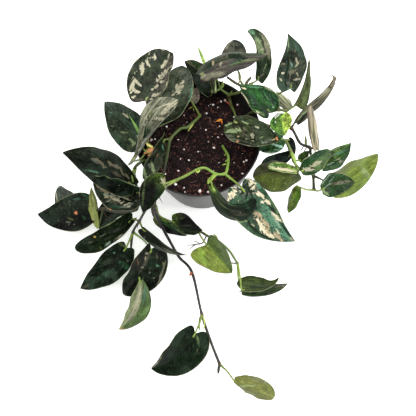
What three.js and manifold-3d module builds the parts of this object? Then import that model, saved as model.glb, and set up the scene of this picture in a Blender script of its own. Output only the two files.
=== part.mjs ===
// Satin pothos in its pot, in millimetres, +Z up.
// Origin: centre of the pot's underside, on the surface that the pot stands on.
// A thin-walled tapered pot, the soil in it, and nine leafy stems. Each stem, its petioles and its blades are
// one fused body that stands in a plain hole in the soil.
import * as THREE from 'three';
import { mergeVertices } from 'three/addons/utils/BufferGeometryUtils.js';
import Module from 'manifold-3d';

const wasm = await Module();
wasm.setup();
const radians = THREE.MathUtils.degToRad;

// ---- pot ----
const POT_HEIGHT = 130;
const RIM_RADIUS = 76;
const BASE_RADIUS = 55;
const WALL = 1.8;
const FLOOR = 2.5;
const RIM_EASE = 0.4;
const POT_SIDES = 48;
const FLOOR_DISC_RADIUS = 50;
const FLOOR_RING_RADIUS = 47;
const DRAIN_HOLES = 6;
const DRAIN_RADIUS = 5;
const DRAIN_CIRCLE = 32;
const DRAIN_SIDES = 16;

// ---- soil ----
const SOIL_LEVEL = 105;
const SOIL_GAP = 0.35;
const SOIL_RINGS = 6;
const SOIL_SIDES = 32;
const CLOD_HEIGHT = 1.6;
const HOLE_CLEARANCE = 0.7;
const HOLE_SIDES = 6;
const HOLE_DEEPER = 2;

// ---- plant ----
const BLADE_THICKNESS = 0.8;
const STEM_SIDES = 6;
const STEM_STEP = 12;
const PETIOLE_RADIUS = 1.15;
const PETIOLE_SIDES = 4;
const PETIOLE_STEP = 14;
const PETIOLE_END = 0.07;
const OUTLINE_RISE = 0.4;
const BLUNT_BASE = 0.04;
const TIP_HALF_WIDTH = 0.35;
const LOBE = 0.15;
const LOBE_REACH = 2.3;
const TIGHTEST_ROLL = 2;
const LEAST_ROLL = 1e-4;
const WIDEST_ROLL = radians(160);
// stations along a blade, from the petiole (0) to the tip (1), and across it
const STATIONS = [0, 0.12, 0.35, 0.65, 0.88, 1];
const ACROSS = [-1, -0.5, 0, 0.5, 1];
const ACROSS_ROLLED = [-1, -0.67, -0.33, 0, 0.33, 0.67, 1];
const ROLLED = 80;
// an unturned leaf shows its upper side to the light, which comes from above and a little from the front
const LIGHT = new THREE.Vector3(0, -0.26, 0.97).normalize();

const POT_COLOUR = 0x9a9796;
const SOIL_COLOUR = 0x2b1a16;
const LEAF_COLOURS = { dark: 0x2c3b2c, young: 0x6f8c3a, mottled: 0x4a5a48 };

// Each vine has its stem's radius and route. A leaf has its petiole's route out of the stem, the base and the
// tip of the blade, the blade's width, and these:
//   turn: the angle by which it is rolled round its own length, away from the light;
//   bow: how far the midrib rises near the base and near the tip; sweep: how far it bends sideways;
//   fold: how far each half is raised; curl: how far each half rolls up, at the base and at the tip;
//   taper: low for a blunt tip; skew: how much wider one half is;
//   rise, where it isn't the usual one: high for a blade that stays slender near the petiole.
const VINES = {
  vine_front: {
    radius: 1.9, colour: 'mottled',
    stem: [
      [27, -6, 92], [28, -7, 104], [29, -12, 110], [33, -26, 118], [30, -43, 126], [26, -51, 129],
      [15, -51, 133], [5, -44, 136], [-4, -44, 137], [-20, -51, 138], [-36, -57, 138], [-52, -65, 135],
      [-65, -73, 122], [-75, -79, 101], [-84, -84, 80], [-95, -92, 60], [-102, -108, 36],
      [-104, -123, 26],
    ],
    leaves: [
      { petiole: [[26, -51, 129], [38, -66, 137]], base: [43, -77, 150], tip: [100, -137, 108], width: 51,
        turn: -15, bow: [1, -3], sweep: 7, fold: 0, curl: [15, 0], taper: 1, skew: 0.15 },
      { petiole: [[15, -51, 133], [9, -59, 143]], base: [10, -75, 158], tip: [56, -96, 166], width: 37,
        turn: 160, bow: [9, 13], sweep: -18, fold: 30, curl: [95, 20], taper: 0.6, skew: -0.1 },
      { petiole: [[-32, -55, 138]], base: [-44, -61, 148], tip: [-74, -88, 129], width: 36,
        turn: 30, bow: [2, 1], sweep: 1, fold: 15, curl: [45, 25], taper: 0.85, skew: 0.2 },
      { petiole: [[-84, -84, 80]], base: [-94, -76, 64], tip: [-174, -97, 34], width: 37,
        turn: 15, bow: [4, 3], sweep: -13, fold: 25, curl: [50, 15], taper: 0.6, skew: -0.05 },
      { petiole: [[-95, -92, 60]], base: [-107, -108, 46], tip: [-174, -148, 16], width: 43,
        turn: 0, bow: [-3, 6], sweep: -4, fold: 10, curl: [35, 25], taper: 0.9, skew: -0.15 },
      { petiole: [[-95, -92, 60], [-84, -101, 50]], base: [-76, -112, 40], tip: [-117, -163, 12], width: 54,
        turn: -35, bow: [6, 3], sweep: 0, fold: 10, curl: [30, 10], taper: 0.6, skew: -0.15 },
      { petiole: [[-84, -84, 80]], base: [-82, -90, 62], tip: [-31, -125, 42], width: 30,
        turn: 55, bow: [1, 8], sweep: 2, fold: 15, curl: [10, 50], taper: 1.1, skew: -0.2 },
      { petiole: [[-104, -123, 26], [-97, -136, 24]], base: [-95, -152, 26], tip: [-129, -205, 10], width: 34,
        turn: -170, bow: [-9, 3], sweep: 10, fold: 25, curl: [-15, 50], taper: 0.8, skew: 0.25, rise: 0.85 },
    ],
  },
  vine_trailing: {
    radius: 1.6, colour: 'dark',
    stem: [
      [6, 38, 92], [5, 37, 104], [2, 31, 110], [-12, 18, 116], [-21, 16, 118], [-34, 4, 120],
      [-37, -7, 122], [-43, -33, 130], [-50, -57, 134], [-58, -68, 122], [-62, -78, 100], [-58, -90, 72],
      [-51, -105, 46], [-42, -123, 26], [-28, -142, 9], [-21, -197, 6], [-12, -237, 5], [-5, -262, 5],
    ],
    leaves: [
      { petiole: [[4, 35, 107], [1, 41, 114]], base: [-4, 51, 117], tip: [4, 66, 122], width: 16,
        turn: 5, bow: [5, 2], sweep: 1, fold: 0, curl: [20, 15], taper: 0.8, skew: -0.05 },
      { petiole: [[-34, 4, 120]], base: [-42, 2, 123], tip: [-69, -51, 146], width: 33,
        turn: -60, bow: [8, 1], sweep: 3, fold: 0, curl: [40, 25], taper: 0.4, skew: 0.15 },
      { petiole: [[-60, -75, 108], [-58, -81, 84]], base: [-44, -86, 66], tip: [-8, -97, 50], width: 32,
        turn: -30, bow: [-4, -6], sweep: 3, fold: 15, curl: [45, 10], taper: 0.85, skew: -0.1 },
      { petiole: [[-62, -78, 100]], base: [-64, -80, 68], tip: [-28, -103, 54], width: 26,
        turn: 55, bow: [5, 2], sweep: -1, fold: 0, curl: [-5, 25], taper: 0.85, skew: -0.05 },
      { petiole: [[-21, -197, 6], [-24, -207, 14]], base: [-32, -222, 18], tip: [-92, -258, 5], width: 55,
        turn: -25, bow: [5, 13], sweep: -7, fold: 10, curl: [5, 20], taper: 0.8, skew: -0.05 },
      { petiole: [[-5, -262, 5], [4, -273, 11]], base: [12, -287, 17], tip: [57, -311, 15], width: 35,
        turn: -160, bow: [-11, 2], sweep: 3, fold: 30, curl: [45, -20], taper: 0.45, skew: -0.05 },
    ],
  },
  vine_hanging: {
    radius: 1.6, colour: 'young',
    stem: [
      [-49, -33, 92], [-50, -34, 104], [-52, -39, 117], [-55, -45, 131], [-60, -53, 135], [-64, -61, 126],
      [-65, -68, 102], [-67, -74, 70], [-62, -79, 46], [-47, -86, 36], [-29, -90, 34], [-14, -93, 34],
      [-2, -102, 36], [10, -109, 34], [23, -123, 31], [32, -140, 26],
    ],
    leaves: [
      { petiole: [[-14, -93, 34], [-11, -103, 43]], base: [-5, -115, 44], tip: [23, -150, 18], width: 42,
        turn: 175, bow: [3, -6], sweep: 2, fold: -5, curl: [35, 10], taper: 0.7, skew: -0.25, rise: 0.15 },
      { petiole: [[32, -140, 26], [33, -158, 30]], base: [33, -174, 25], tip: [82, -165, 38], width: 28,
        turn: -40, bow: [-3, -21], sweep: 4, fold: 10, curl: [65, 70], taper: 1.05, skew: -0.35 },
      { petiole: [[32, -140, 26], [31, -160, 20]], base: [36, -173, 14], tip: [94, -170, 10], width: 26,
        turn: 35, bow: [-1, 9], sweep: 0, fold: 5, curl: [25, 40], taper: 0.8, skew: -0.15 },
    ],
  },
  vine_left: {
    radius: 1.8, colour: 'dark',
    stem: [
      [-59, -15, 92], [-60, -16, 104], [-64, -20, 117], [-67, -24, 131], [-72, -28, 136], [-79, -32, 131],
      [-82, -38, 118], [-81, -49, 108], [-80, -61, 98], [-86, -70, 86], [-102, -68, 72], [-120, -61, 58],
      [-131, -56, 54], [-140, -55, 50],
    ],
    leaves: [
      { petiole: [[-82, -38, 118]], base: [-84, -50, 122], tip: [-170, 9, 100], width: 51,
        turn: -15, bow: [-6, -4], sweep: 6, fold: 0, curl: [65, -5], taper: 0.9, skew: 0 },
      { petiole: [[-80, -61, 98]], base: [-77, -59, 116], tip: [-134, -26, 100], width: 61,
        turn: -25, bow: [0, -7], sweep: -6, fold: 30, curl: [35, 35], taper: 0.7, skew: 0 },
      { petiole: [[-140, -55, 50]], base: [-147, -50, 46], tip: [-223, -44, 24], width: 50,
        turn: 5, bow: [-2, 0], sweep: -9, fold: 5, curl: [10, 30], taper: 0.95, skew: 0.05 },
      { petiole: [[-140, -55, 50]], base: [-161, -52, 26], tip: [-194, -5, 14], width: 38,
        turn: -15, bow: [5, 7], sweep: -5, fold: 10, curl: [20, 25], taper: 0.8, skew: -0.05 },
      { petiole: [[-131, -56, 54]], base: [-140, -75, 44], tip: [-144, -27, 60], width: 20,
        turn: -135, bow: [1, -5], sweep: -1, fold: 10, curl: [90, 65], taper: 0.85, skew: 0, rise: 0.65 },
      { petiole: [[-86, -70, 86], [-91, -62, 60]], base: [-99, -54, 42], tip: [-142, -75, 30], width: 38,
        turn: 30, bow: [5, 7], sweep: 2, fold: 15, curl: [40, 15], taper: 0.7, skew: 0.2 },
    ],
  },
  vine_upper_left: {
    radius: 1.9, colour: 'mottled',
    stem: [[-50, -2, 92], [-50, -3, 104], [-54, -7, 120], [-59, -6, 130], [-61, -3, 140], [-58, 5, 147]],
    leaves: [
      { petiole: [[-58, 5, 147], [-53, 23, 160]], base: [-56, 36, 168], tip: [-21, 96, 163], width: 52,
        turn: -15, bow: [0, 8], sweep: 4, fold: 15, curl: [10, 55], taper: 0.6, skew: -0.35 },
      { petiole: [[-58, 5, 147]], base: [-51, 15, 150], tip: [-8, 85, 146], width: 54,
        turn: 15, bow: [-11, 3], sweep: 6, fold: 20, curl: [70, 0], taper: 0.65, skew: 0 },
      { petiole: [[-61, -3, 140]], base: [-69, 0, 143], tip: [-110, 60, 124], width: 50,
        turn: -30, bow: [1, 7], sweep: 0, fold: 0, curl: [10, 20], taper: 0.95, skew: -0.05 },
      { petiole: [[-59, -6, 130], [-70, -22, 134]], base: [-80, -26, 140], tip: [-18, 30, 172], width: 39,
        turn: -20, bow: [-17, 9], sweep: -8, fold: 15, curl: [185, 0], taper: 0.9, skew: -0.2, rise: 1.5 },
    ],
  },
  vine_right: {
    radius: 1.7, colour: 'dark',
    stem: [
      [59, 17, 92], [60, 17, 104], [64, 14, 117], [68, 9, 132], [75, 5, 139], [84, -1, 140],
      [97, -3, 138], [111, -5, 134], [120, -22, 126], [131, -27, 121], [132, -33, 117], [134, -46, 110],
      [133, -58, 105], [132, -74, 99],
    ],
    leaves: [
      { petiole: [[97, -3, 138], [99, 4, 148]], base: [100, 4, 160], tip: [98, -27, 172], width: 27,
        turn: 15, bow: [1, 2], sweep: 2, fold: -20, curl: [5, 30], taper: 0.8, skew: 0.15 },
      { petiole: [[131, -27, 121]], base: [138, -33, 128], tip: [133, 9, 162], width: 32,
        turn: 170, bow: [-2, -1], sweep: 1, fold: 10, curl: [150, 150], taper: 0.5, skew: 0.05 },
      { petiole: [[111, -5, 134]], base: [118, 4, 136], tip: [171, 53, 140], width: 28,
        turn: 133, bow: [-7, 11], sweep: -1, fold: 5, curl: [123, 159], taper: 0.55, skew: 0 },
      { petiole: [[134, -46, 110]], base: [144, -52, 112], tip: [185, -21, 104], width: 33,
        turn: -40, bow: [-6, 0], sweep: 1, fold: 5, curl: [20, 15], taper: 0.95, skew: 0.05 },
      { petiole: [[133, -58, 105], [143, -65, 106]], base: [151, -74, 104], tip: [220, -32, 84], width: 50,
        turn: 135, bow: [-2, -4], sweep: 0, fold: 10, curl: [25, 15], taper: 0.8, skew: -0.05 },
      { petiole: [[132, -74, 99], [136, -78, 106]], base: [140, -79, 116], tip: [180, -73, 108], width: 33,
        turn: 15, bow: [-9, 4], sweep: -2, fold: 10, curl: [30, 20], taper: 0.9, skew: -0.15 },
      { petiole: [[132, -74, 99], [124, -74, 102]], base: [114, -71, 107], tip: [99, -95, 84], width: 20,
        turn: 22, bow: [-5, 0], sweep: -2, fold: 20, curl: [55, 35], taper: 0.75, skew: 0.05 },
    ],
  },
  vine_lower_right: {
    radius: 1.7, colour: 'young',
    stem: [
      [59, -4, 92], [60, -5, 104], [66, -10, 118], [73, -17, 137], [86, -18, 137], [101, -20, 135],
      [107, -33, 131], [109, -44, 129], [113, -54, 128],
    ],
    leaves: [
      { petiole: [[113, -54, 128]], base: [116, -59, 132], tip: [154, -33, 122], width: 27,
        turn: 0, bow: [-6, 5], sweep: 0, fold: 20, curl: [30, 25], taper: 0.75, skew: 0.15 },
      { petiole: [[113, -54, 128]], base: [108, -61, 138], tip: [76, -54, 148], width: 15,
        turn: 20, bow: [0, 0], sweep: 0, fold: 15, curl: [70, 25], taper: 0.45, skew: 0.1 },
      { petiole: [[113, -54, 128]], base: [112, -59, 128], tip: [58, -62, 140], width: 45,
        turn: -170, bow: [-7, -11], sweep: -1, fold: 15, curl: [55, 10], taper: 0.5, skew: 0.1 },
      { petiole: [[101, -20, 135]], base: [98, -19, 140], tip: [69, -28, 136], width: 26,
        turn: -30, bow: [6, 6], sweep: 1, fold: 0, curl: [10, 25], taper: 0.7, skew: 0.1 },
      { petiole: [[101, -20, 135]], base: [106, -18, 132], tip: [111, -36, 124], width: 13,
        turn: -20, bow: [-1, 0], sweep: 0, fold: 5, curl: [30, 20], taper: 0.75, skew: 0 },
      { petiole: [[107, -33, 131]], base: [107, -34, 121], tip: [72, -47, 119], width: 20,
        turn: 40, bow: [-7, 4], sweep: 0, fold: 5, curl: [-10, 20], taper: 0.4, skew: 0.3 },
      { petiole: [[109, -44, 129]], base: [117, -43, 124], tip: [130, -31, 120], width: 12,
        turn: 0, bow: [-2, 2], sweep: 0, fold: 5, curl: [25, 25], taper: 0.95, skew: 0 },
    ],
  },
  vine_back_right: {
    radius: 1.7, colour: 'dark',
    stem: [
      [55, 28, 92], [56, 27, 104], [61, 24, 118], [66, 21, 132], [75, 19, 140], [89, 17, 140],
      [99, 18, 139], [108, 16, 138],
    ],
    leaves: [
      { petiole: [[108, 16, 138]], base: [120, 22, 138], tip: [146, 87, 130], width: 22,
        turn: 140, bow: [7, 7], sweep: -1, fold: 20, curl: [15, 90], taper: 0.95, skew: -0.1, rise: 0.1 },
      { petiole: [[89, 17, 140], [97, 33, 146]], base: [113, 35, 160], tip: [121, 112, 150], width: 39,
        turn: -25, bow: [2, -11], sweep: 8, fold: 10, curl: [25, 15], taper: 1.05, skew: 0 },
      { petiole: [[89, 17, 140]], base: [86, 15, 146], tip: [54, 45, 160], width: 37,
        turn: 15, bow: [4, 2], sweep: 1, fold: 0, curl: [25, 15], taper: 1, skew: 0.15 },
      { petiole: [[99, 18, 139], [99, 36, 132]], base: [100, 44, 128], tip: [115, 21, 132], width: 20,
        turn: 180, bow: [2, 1], sweep: 1, fold: 5, curl: [90, 50], taper: 0.65, skew: -0.1 },
    ],
  },
  vine_back: {
    radius: 1.8, colour: 'mottled',
    stem: [
      [46, 41, 92], [45, 43, 108], [43, 50, 116], [43, 51, 123], [54, 48, 134], [63, 51, 139],
      [70, 55, 140],
    ],
    leaves: [
      { petiole: [[43, 51, 123], [33, 57, 131], [30, 63, 142], [19, 64, 156]], base: [11, 61, 166],
        tip: [91, 81, 158], width: 47,
        turn: 170, bow: [-25, -6], sweep: 3, fold: 15, curl: [75, 55], taper: 0.85, skew: 0.2 },
      { petiole: [[33, 57, 131]], base: [23, 52, 134], tip: [-7, 93, 142], width: 36,
        turn: -35, bow: [-12, -5], sweep: 5, fold: 5, curl: [70, 20], taper: 0.8, skew: 0.1 },
      { petiole: [[30, 63, 142], [22, 71, 152]], base: [18, 77, 156], tip: [10, 100, 168], width: 6,
        turn: -125, bow: [-1, -1], sweep: 0, fold: 10, curl: [120, 120], taper: 0.85, skew: -0.05 },
      { petiole: [[63, 51, 139], [57, 62, 140], [57, 71, 140]], base: [53, 87, 140], tip: [55, 119, 134],
        width: 31,
        turn: -10, bow: [5, 7], sweep: 3, fold: -5, curl: [-10, 40], taper: 1, skew: -0.05 },
      { petiole: [[70, 55, 140]], base: [80, 65, 128], tip: [74, 125, 140], width: 27,
        turn: 25, bow: [-1, 16], sweep: 8, fold: 20, curl: [35, 60], taper: 0.45, skew: 0.2 },
      { petiole: [[45, 43, 108], [47, 21, 130]], base: [44, 5, 150], tip: [92, -28, 158], width: 44,
        turn: -30, bow: [4, 2], sweep: 3, fold: -5, curl: [-10, 20], taper: 0.75, skew: 0.15 },
    ],
  },
};

const vector = (point) => new THREE.Vector3(...point);

function toSolid(geometry) {
  const bare = geometry.clone();
  bare.deleteAttribute('normal');
  bare.deleteAttribute('uv');
  const merged = mergeVertices(bare, 1e-4);
  const mesh = new wasm.Mesh({
    numProp: 3,
    vertProperties: new Float32Array(merged.attributes.position.array),
    triVerts: new Uint32Array(merged.index.array),
  });
  return new wasm.Manifold(mesh);
}

function toGeometry(solid) {
  const mesh = solid.getMesh();
  const geometry = new THREE.BufferGeometry();
  geometry.setAttribute('position', new THREE.BufferAttribute(mesh.vertProperties.slice(), 3));
  geometry.setIndex(new THREE.BufferAttribute(mesh.triVerts.slice(), 1));
  geometry.computeVertexNormals();
  return geometry;
}

// a closed round bar along a smooth route through the points, with a ring of corners at each of them and at
// about every step between
function tube(points, radius, sides, step) {
  const route = new THREE.CatmullRomCurve3(points.map(vector), false, 'catmullrom', 0.5);
  const spans = points.length - 1;
  const stations = [];
  for (let span = 0; span < spans; span += 1) {
    const length = vector(points[span]).distanceTo(vector(points[span + 1]));
    const parts = Math.max(1, Math.round(length / step));
    for (let part = 0; part < parts; part += 1) stations.push((span + part / parts) / spans);
  }
  stations.push(1);

  const corners = [];
  const across = new THREE.Vector3(1, 0, 0);
  for (const t of stations) {
    const centre = route.getPoint(t);
    const forward = route.getTangent(t);
    across.addScaledVector(forward, -across.dot(forward)).normalize();
    const up = forward.clone().cross(across);
    for (let i = 0; i < sides; i += 1) {
      const angle = (2 * Math.PI * i) / sides;
      corners.push(centre.clone().addScaledVector(across, radius * Math.cos(angle))
        .addScaledVector(up, radius * Math.sin(angle)));
    }
  }

  const triangles = [];
  const at = (ring, i) => ring * sides + (i % sides);
  const lastRing = stations.length - 1;
  for (let ring = 0; ring < lastRing; ring += 1) {
    for (let i = 0; i < sides; i += 1) {
      const [a, b, c, d] = [at(ring, i), at(ring, i + 1), at(ring + 1, i + 1), at(ring + 1, i)];
      triangles.push(a, b, c, a, c, d);
    }
  }
  for (let i = 1; i < sides - 1; i += 1) {
    triangles.push(at(0, 0), at(0, i + 1), at(0, i));
    triangles.push(at(lastRing, 0), at(lastRing, i), at(lastRing, i + 1));
  }
  const geometry = new THREE.BufferGeometry().setFromPoints(corners);
  geometry.setIndex(triangles);
  return geometry;
}

// half the blade's width at u, as a share of its greatest half width: q^rise (1 - q)^taper, scaled to reach 1
function outline(u, leaf) {
  const { taper, rise = OUTLINE_RISE } = leaf;
  const q = (u + BLUNT_BASE) / (1 + BLUNT_BASE);
  const widest = rise / (rise + taper);
  return (q ** rise * (1 - q) ** taper) / (widest ** rise * (1 - widest) ** taper);
}

// a blade's midrib, a cubic curve, and the direction that its upper side faces
function bladeFrame(leaf) {
  const base = vector(leaf.base);
  const tip = vector(leaf.tip);
  const length = base.distanceTo(tip);
  const along = tip.clone().sub(base).normalize();
  const facing = LIGHT.clone().addScaledVector(along, -LIGHT.dot(along)).normalize();
  facing.applyAxisAngle(along, radians(leaf.turn));
  const side = along.clone().cross(facing);
  const handle = (share, rise) => base.clone().addScaledVector(along, length * share)
    .addScaledVector(facing, rise).addScaledVector(side, leaf.sweep);
  const handles = [handle(1 / 3, leaf.bow[0]), handle(2 / 3, leaf.bow[1])];
  return { midrib: new THREE.CubicBezierCurve3(base, ...handles, tip), facing };
}

// the angle that one half rolls through at u, kept to what its width allows
function rollAngle(leaf, u, half) {
  const asked = radians(THREE.MathUtils.lerp(leaf.curl[0], leaf.curl[1], u));
  const limit = half / TIGHTEST_ROLL;
  const widest = WIDEST_ROLL - 1.5 * Math.max(radians(leaf.fold), 0);
  const angle = Math.min(THREE.MathUtils.clamp(asked, -limit, limit), widest);
  return Math.abs(angle) < LEAST_ROLL ? LEAST_ROLL : angle;
}

// the blade's middle surface, row by row from the petiole. At each station the two halves are circular arcs,
// raised by fold and rolled by curl. Near the petiole the lobes are swept back past it.
function middleSurface(leaf, across) {
  const { midrib, facing } = bladeFrame(leaf);
  const fold = radians(leaf.fold);
  return STATIONS.flatMap((u) => {
    const forward = midrib.getTangent(u);
    const normal = facing.clone().addScaledVector(forward, -facing.dot(forward)).normalize();
    const lateral = forward.clone().cross(normal);
    return across.map((v) => {
      const share = Math.abs(v);
      const lopsided = 1 + leaf.skew * Math.sign(v);
      const half = Math.max((leaf.width / 2) * outline(u, leaf) * lopsided, TIP_HALF_WIDTH);
      const roll = rollAngle(leaf, u, half);
      const angle = fold + roll * share;
      const outward = (half * (Math.sin(angle) - Math.sin(fold))) / roll;
      const raised = (half * (Math.cos(fold) - Math.cos(angle))) / roll;
      const back = LOBE * leaf.width * lopsided * Math.sin(LOBE_REACH * share) * (1 - u) ** 4;
      return midrib.getPoint(u).addScaledVector(lateral, outward * Math.sign(v))
        .addScaledVector(normal, raised).addScaledVector(forward, -back);
    });
  });
}

// the blade as one closed shell, half its thickness to either side of the middle surface
function bladeGeometry(leaf) {
  const rolled = Math.max(...leaf.curl.map(Math.abs)) > ROLLED;
  const across = rolled ? ACROSS_ROLLED : ACROSS;
  const middle = middleSurface(leaf, across);
  const lastRow = STATIONS.length - 1;
  const lastColumn = across.length - 1;
  const under = middle.length;
  const at = (i, j) => i * across.length + j;
  const difference = (high, low) => middle[high].clone().sub(middle[low]);
  const normals = middle.map((_, k) => {
    const j = k % across.length;
    const i = (k - j) / across.length;
    const alongBlade = difference(at(Math.min(i + 1, lastRow), j), at(Math.max(i - 1, 0), j));
    const acrossBlade = difference(at(i, Math.min(j + 1, lastColumn)), at(i, Math.max(j - 1, 0)));
    return acrossBlade.cross(alongBlade).normalize();
  });
  const offset = (share) => middle.map((point, k) => (
    point.clone().addScaledVector(normals[k], share * BLADE_THICKNESS)
  ));

  const triangles = [];
  for (let i = 0; i < lastRow; i += 1) {
    for (let j = 0; j < lastColumn; j += 1) {
      const [a, b, c, d] = [at(i, j), at(i, j + 1), at(i + 1, j + 1), at(i + 1, j)];
      triangles.push(a, b, c, a, c, d);
      triangles.push(under + a, under + c, under + b, under + a, under + d, under + c);
    }
  }
  const edge = [];
  for (let j = 0; j < lastColumn; j += 1) edge.push(at(0, j));
  for (let i = 0; i < lastRow; i += 1) edge.push(at(i, lastColumn));
  for (let j = lastColumn; j > 0; j -= 1) edge.push(at(lastRow, j));
  for (let i = lastRow; i > 0; i -= 1) edge.push(at(i, 0));
  edge.forEach((a, k) => {
    const b = edge[(k + 1) % edge.length];
    triangles.push(b, a, under + a, b, under + a, under + b);
  });
  const geometry = new THREE.BufferGeometry().setFromPoints([...offset(0.5), ...offset(-0.5)]);
  geometry.setIndex(triangles);
  return geometry;
}

// a petiole runs from the stem to the blade's base and a little way along its midrib
function petioleGeometry(leaf) {
  const end = bladeFrame(leaf).midrib.getPoint(PETIOLE_END).toArray();
  return tube([...leaf.petiole, leaf.base, end], PETIOLE_RADIUS, PETIOLE_SIDES, PETIOLE_STEP);
}

function vineSolid(vine) {
  let solid = toSolid(tube(vine.stem, vine.radius, STEM_SIDES, STEM_STEP));
  for (const leaf of vine.leaves) {
    solid = solid.add(toSolid(petioleGeometry(leaf))).add(toSolid(bladeGeometry(leaf)));
  }
  return solid;
}

// outer radius of the pot's wall at height z
const potRadius = (z) => BASE_RADIUS + ((RIM_RADIUS - BASE_RADIUS) * z) / POT_HEIGHT;

function potSolid() {
  const eased = POT_HEIGHT - RIM_EASE;
  const profile = [
    [FLOOR_RING_RADIUS, 0], [BASE_RADIUS, 0], [potRadius(eased), eased],
    [RIM_RADIUS - RIM_EASE, POT_HEIGHT], [RIM_RADIUS - WALL + RIM_EASE, POT_HEIGHT],
    [potRadius(eased) - WALL, eased], [potRadius(FLOOR) - WALL, FLOOR],
    [FLOOR_RING_RADIUS, FLOOR], [FLOOR_RING_RADIUS, 0],
  ];
  const wall = new THREE.LatheGeometry(profile.map(([r, z]) => new THREE.Vector2(r, z)), POT_SIDES);
  wall.rotateX(Math.PI / 2);
  const disc = new THREE.Shape().absarc(0, 0, FLOOR_DISC_RADIUS, 0, 2 * Math.PI);
  for (let i = 0; i < DRAIN_HOLES; i += 1) {
    const angle = (2 * Math.PI * i) / DRAIN_HOLES;
    const hole = new THREE.Path();
    hole.absarc(DRAIN_CIRCLE * Math.cos(angle), DRAIN_CIRCLE * Math.sin(angle), DRAIN_RADIUS, 0, 2 * Math.PI);
    disc.holes.push(hole);
  }
  const depth = { depth: FLOOR, bevelEnabled: false, curveSegments: DRAIN_SIDES / 2 };
  const floor = new THREE.ExtrudeGeometry(disc, depth);
  return toSolid(wall).add(toSolid(floor));
}

const soilRadius = (z) => potRadius(z) - WALL - SOIL_GAP;

// height of the soil's surface: three crossing sets of ripples that fade out at the wall
function soilHeight(x, y) {
  const fade = 1 - (Math.hypot(x, y) / soilRadius(SOIL_LEVEL)) ** 4;
  const clods = Math.sin(0.21 * x + 0.4) * Math.cos(0.19 * y) + 0.6 * Math.sin(0.33 * (x + y))
    + 0.4 * Math.cos(0.47 * (x - y) + 1);
  return SOIL_LEVEL + CLOD_HEIGHT * clods * fade;
}

function soilGeometry() {
  const points = [new THREE.Vector3(0, 0, soilHeight(0, 0))];
  const triangles = [];
  const floorHeight = FLOOR + SOIL_GAP;
  const ringPoint = (radius, i, z) => {
    const angle = (2 * Math.PI * i) / SOIL_SIDES;
    const x = radius * Math.cos(angle);
    const y = radius * Math.sin(angle);
    return new THREE.Vector3(x, y, z ?? soilHeight(x, y));
  };
  for (let ring = 1; ring <= SOIL_RINGS; ring += 1) {
    const radius = (soilRadius(SOIL_LEVEL) * ring) / SOIL_RINGS;
    for (let i = 0; i < SOIL_SIDES; i += 1) points.push(ringPoint(radius, i));
  }
  for (let i = 0; i < SOIL_SIDES; i += 1) points.push(ringPoint(soilRadius(floorHeight), i, floorHeight));
  points.push(new THREE.Vector3(0, 0, floorHeight));
  const at = (ring, i) => 1 + (ring - 1) * SOIL_SIDES + (i % SOIL_SIDES);
  const lastRing = SOIL_RINGS + 1;
  const centreBelow = points.length - 1;
  for (let i = 0; i < SOIL_SIDES; i += 1) {
    triangles.push(0, at(1, i), at(1, i + 1));
    for (let ring = 1; ring < lastRing; ring += 1) {
      const [a, b, c, d] = [at(ring, i), at(ring + 1, i), at(ring + 1, i + 1), at(ring, i + 1)];
      triangles.push(a, b, c, a, c, d);
    }
    triangles.push(centreBelow, at(lastRing, i + 1), at(lastRing, i));
  }
  const geometry = new THREE.BufferGeometry();
  geometry.setFromPoints(points);
  geometry.setIndex(triangles);
  return geometry;
}

// the hole that a stem stands in follows its first stretch, wider by the clearance and a little deeper
function stemHole(vine) {
  const [x, y, z] = vine.stem[0];
  const route = [[x, y, z - HOLE_DEEPER], ...vine.stem.slice(0, 4)];
  return toSolid(tube(route, vine.radius + HOLE_CLEARANCE, HOLE_SIDES, STEM_STEP));
}

function soilSolid() {
  let solid = toSolid(soilGeometry());
  for (const vine of Object.values(VINES)) {
    solid = solid.subtract(stemHole(vine));
  }
  return solid;
}

function addPiece(group, name, solid, colour, roughness) {
  const material = new THREE.MeshStandardMaterial({ color: colour, roughness, metalness: 0 });
  const mesh = new THREE.Mesh(toGeometry(solid), material);
  mesh.name = name;
  group.add(mesh);
}

const plant = new THREE.Group();
addPiece(plant, 'pot', potSolid(), POT_COLOUR, 0.5);
addPiece(plant, 'soil', soilSolid(), SOIL_COLOUR, 0.95);
for (const [name, vine] of Object.entries(VINES)) {
  addPiece(plant, name, vineSolid(vine), LEAF_COLOURS[vine.colour], 0.45);
}

export default plant;
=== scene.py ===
"""Satin pothos in its pot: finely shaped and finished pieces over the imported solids.

Sizes in the layout are millimetres, with +Z up and the origin at the centre of the pot's underside, and every
mesh is written in metres.
"""

import logging
import math
from dataclasses import dataclass, field
from enum import Enum
from typing import Sequence

import bmesh
import bpy
import numpy as np
from mathutils import Matrix

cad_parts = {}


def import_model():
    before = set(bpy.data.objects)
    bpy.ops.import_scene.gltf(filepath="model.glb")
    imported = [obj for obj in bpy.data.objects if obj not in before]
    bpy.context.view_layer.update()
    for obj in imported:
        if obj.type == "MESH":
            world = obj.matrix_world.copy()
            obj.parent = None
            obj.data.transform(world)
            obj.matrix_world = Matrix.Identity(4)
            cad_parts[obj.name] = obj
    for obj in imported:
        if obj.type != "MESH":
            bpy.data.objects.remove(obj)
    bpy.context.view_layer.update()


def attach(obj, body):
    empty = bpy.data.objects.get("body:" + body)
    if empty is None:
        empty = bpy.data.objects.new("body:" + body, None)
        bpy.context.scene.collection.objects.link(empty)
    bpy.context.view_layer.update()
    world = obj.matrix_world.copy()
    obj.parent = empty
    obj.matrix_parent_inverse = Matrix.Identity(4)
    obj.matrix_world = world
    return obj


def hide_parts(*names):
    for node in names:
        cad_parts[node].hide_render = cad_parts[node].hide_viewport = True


LOG = logging.getLogger("satin_pothos")
Array = np.ndarray
Chance = np.random.Generator
Material = bpy.types.Material
Node = bpy.types.Node
Piece = bpy.types.Object
Socket = bpy.types.NodeSocket
Tree = bpy.types.NodeTree
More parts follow.
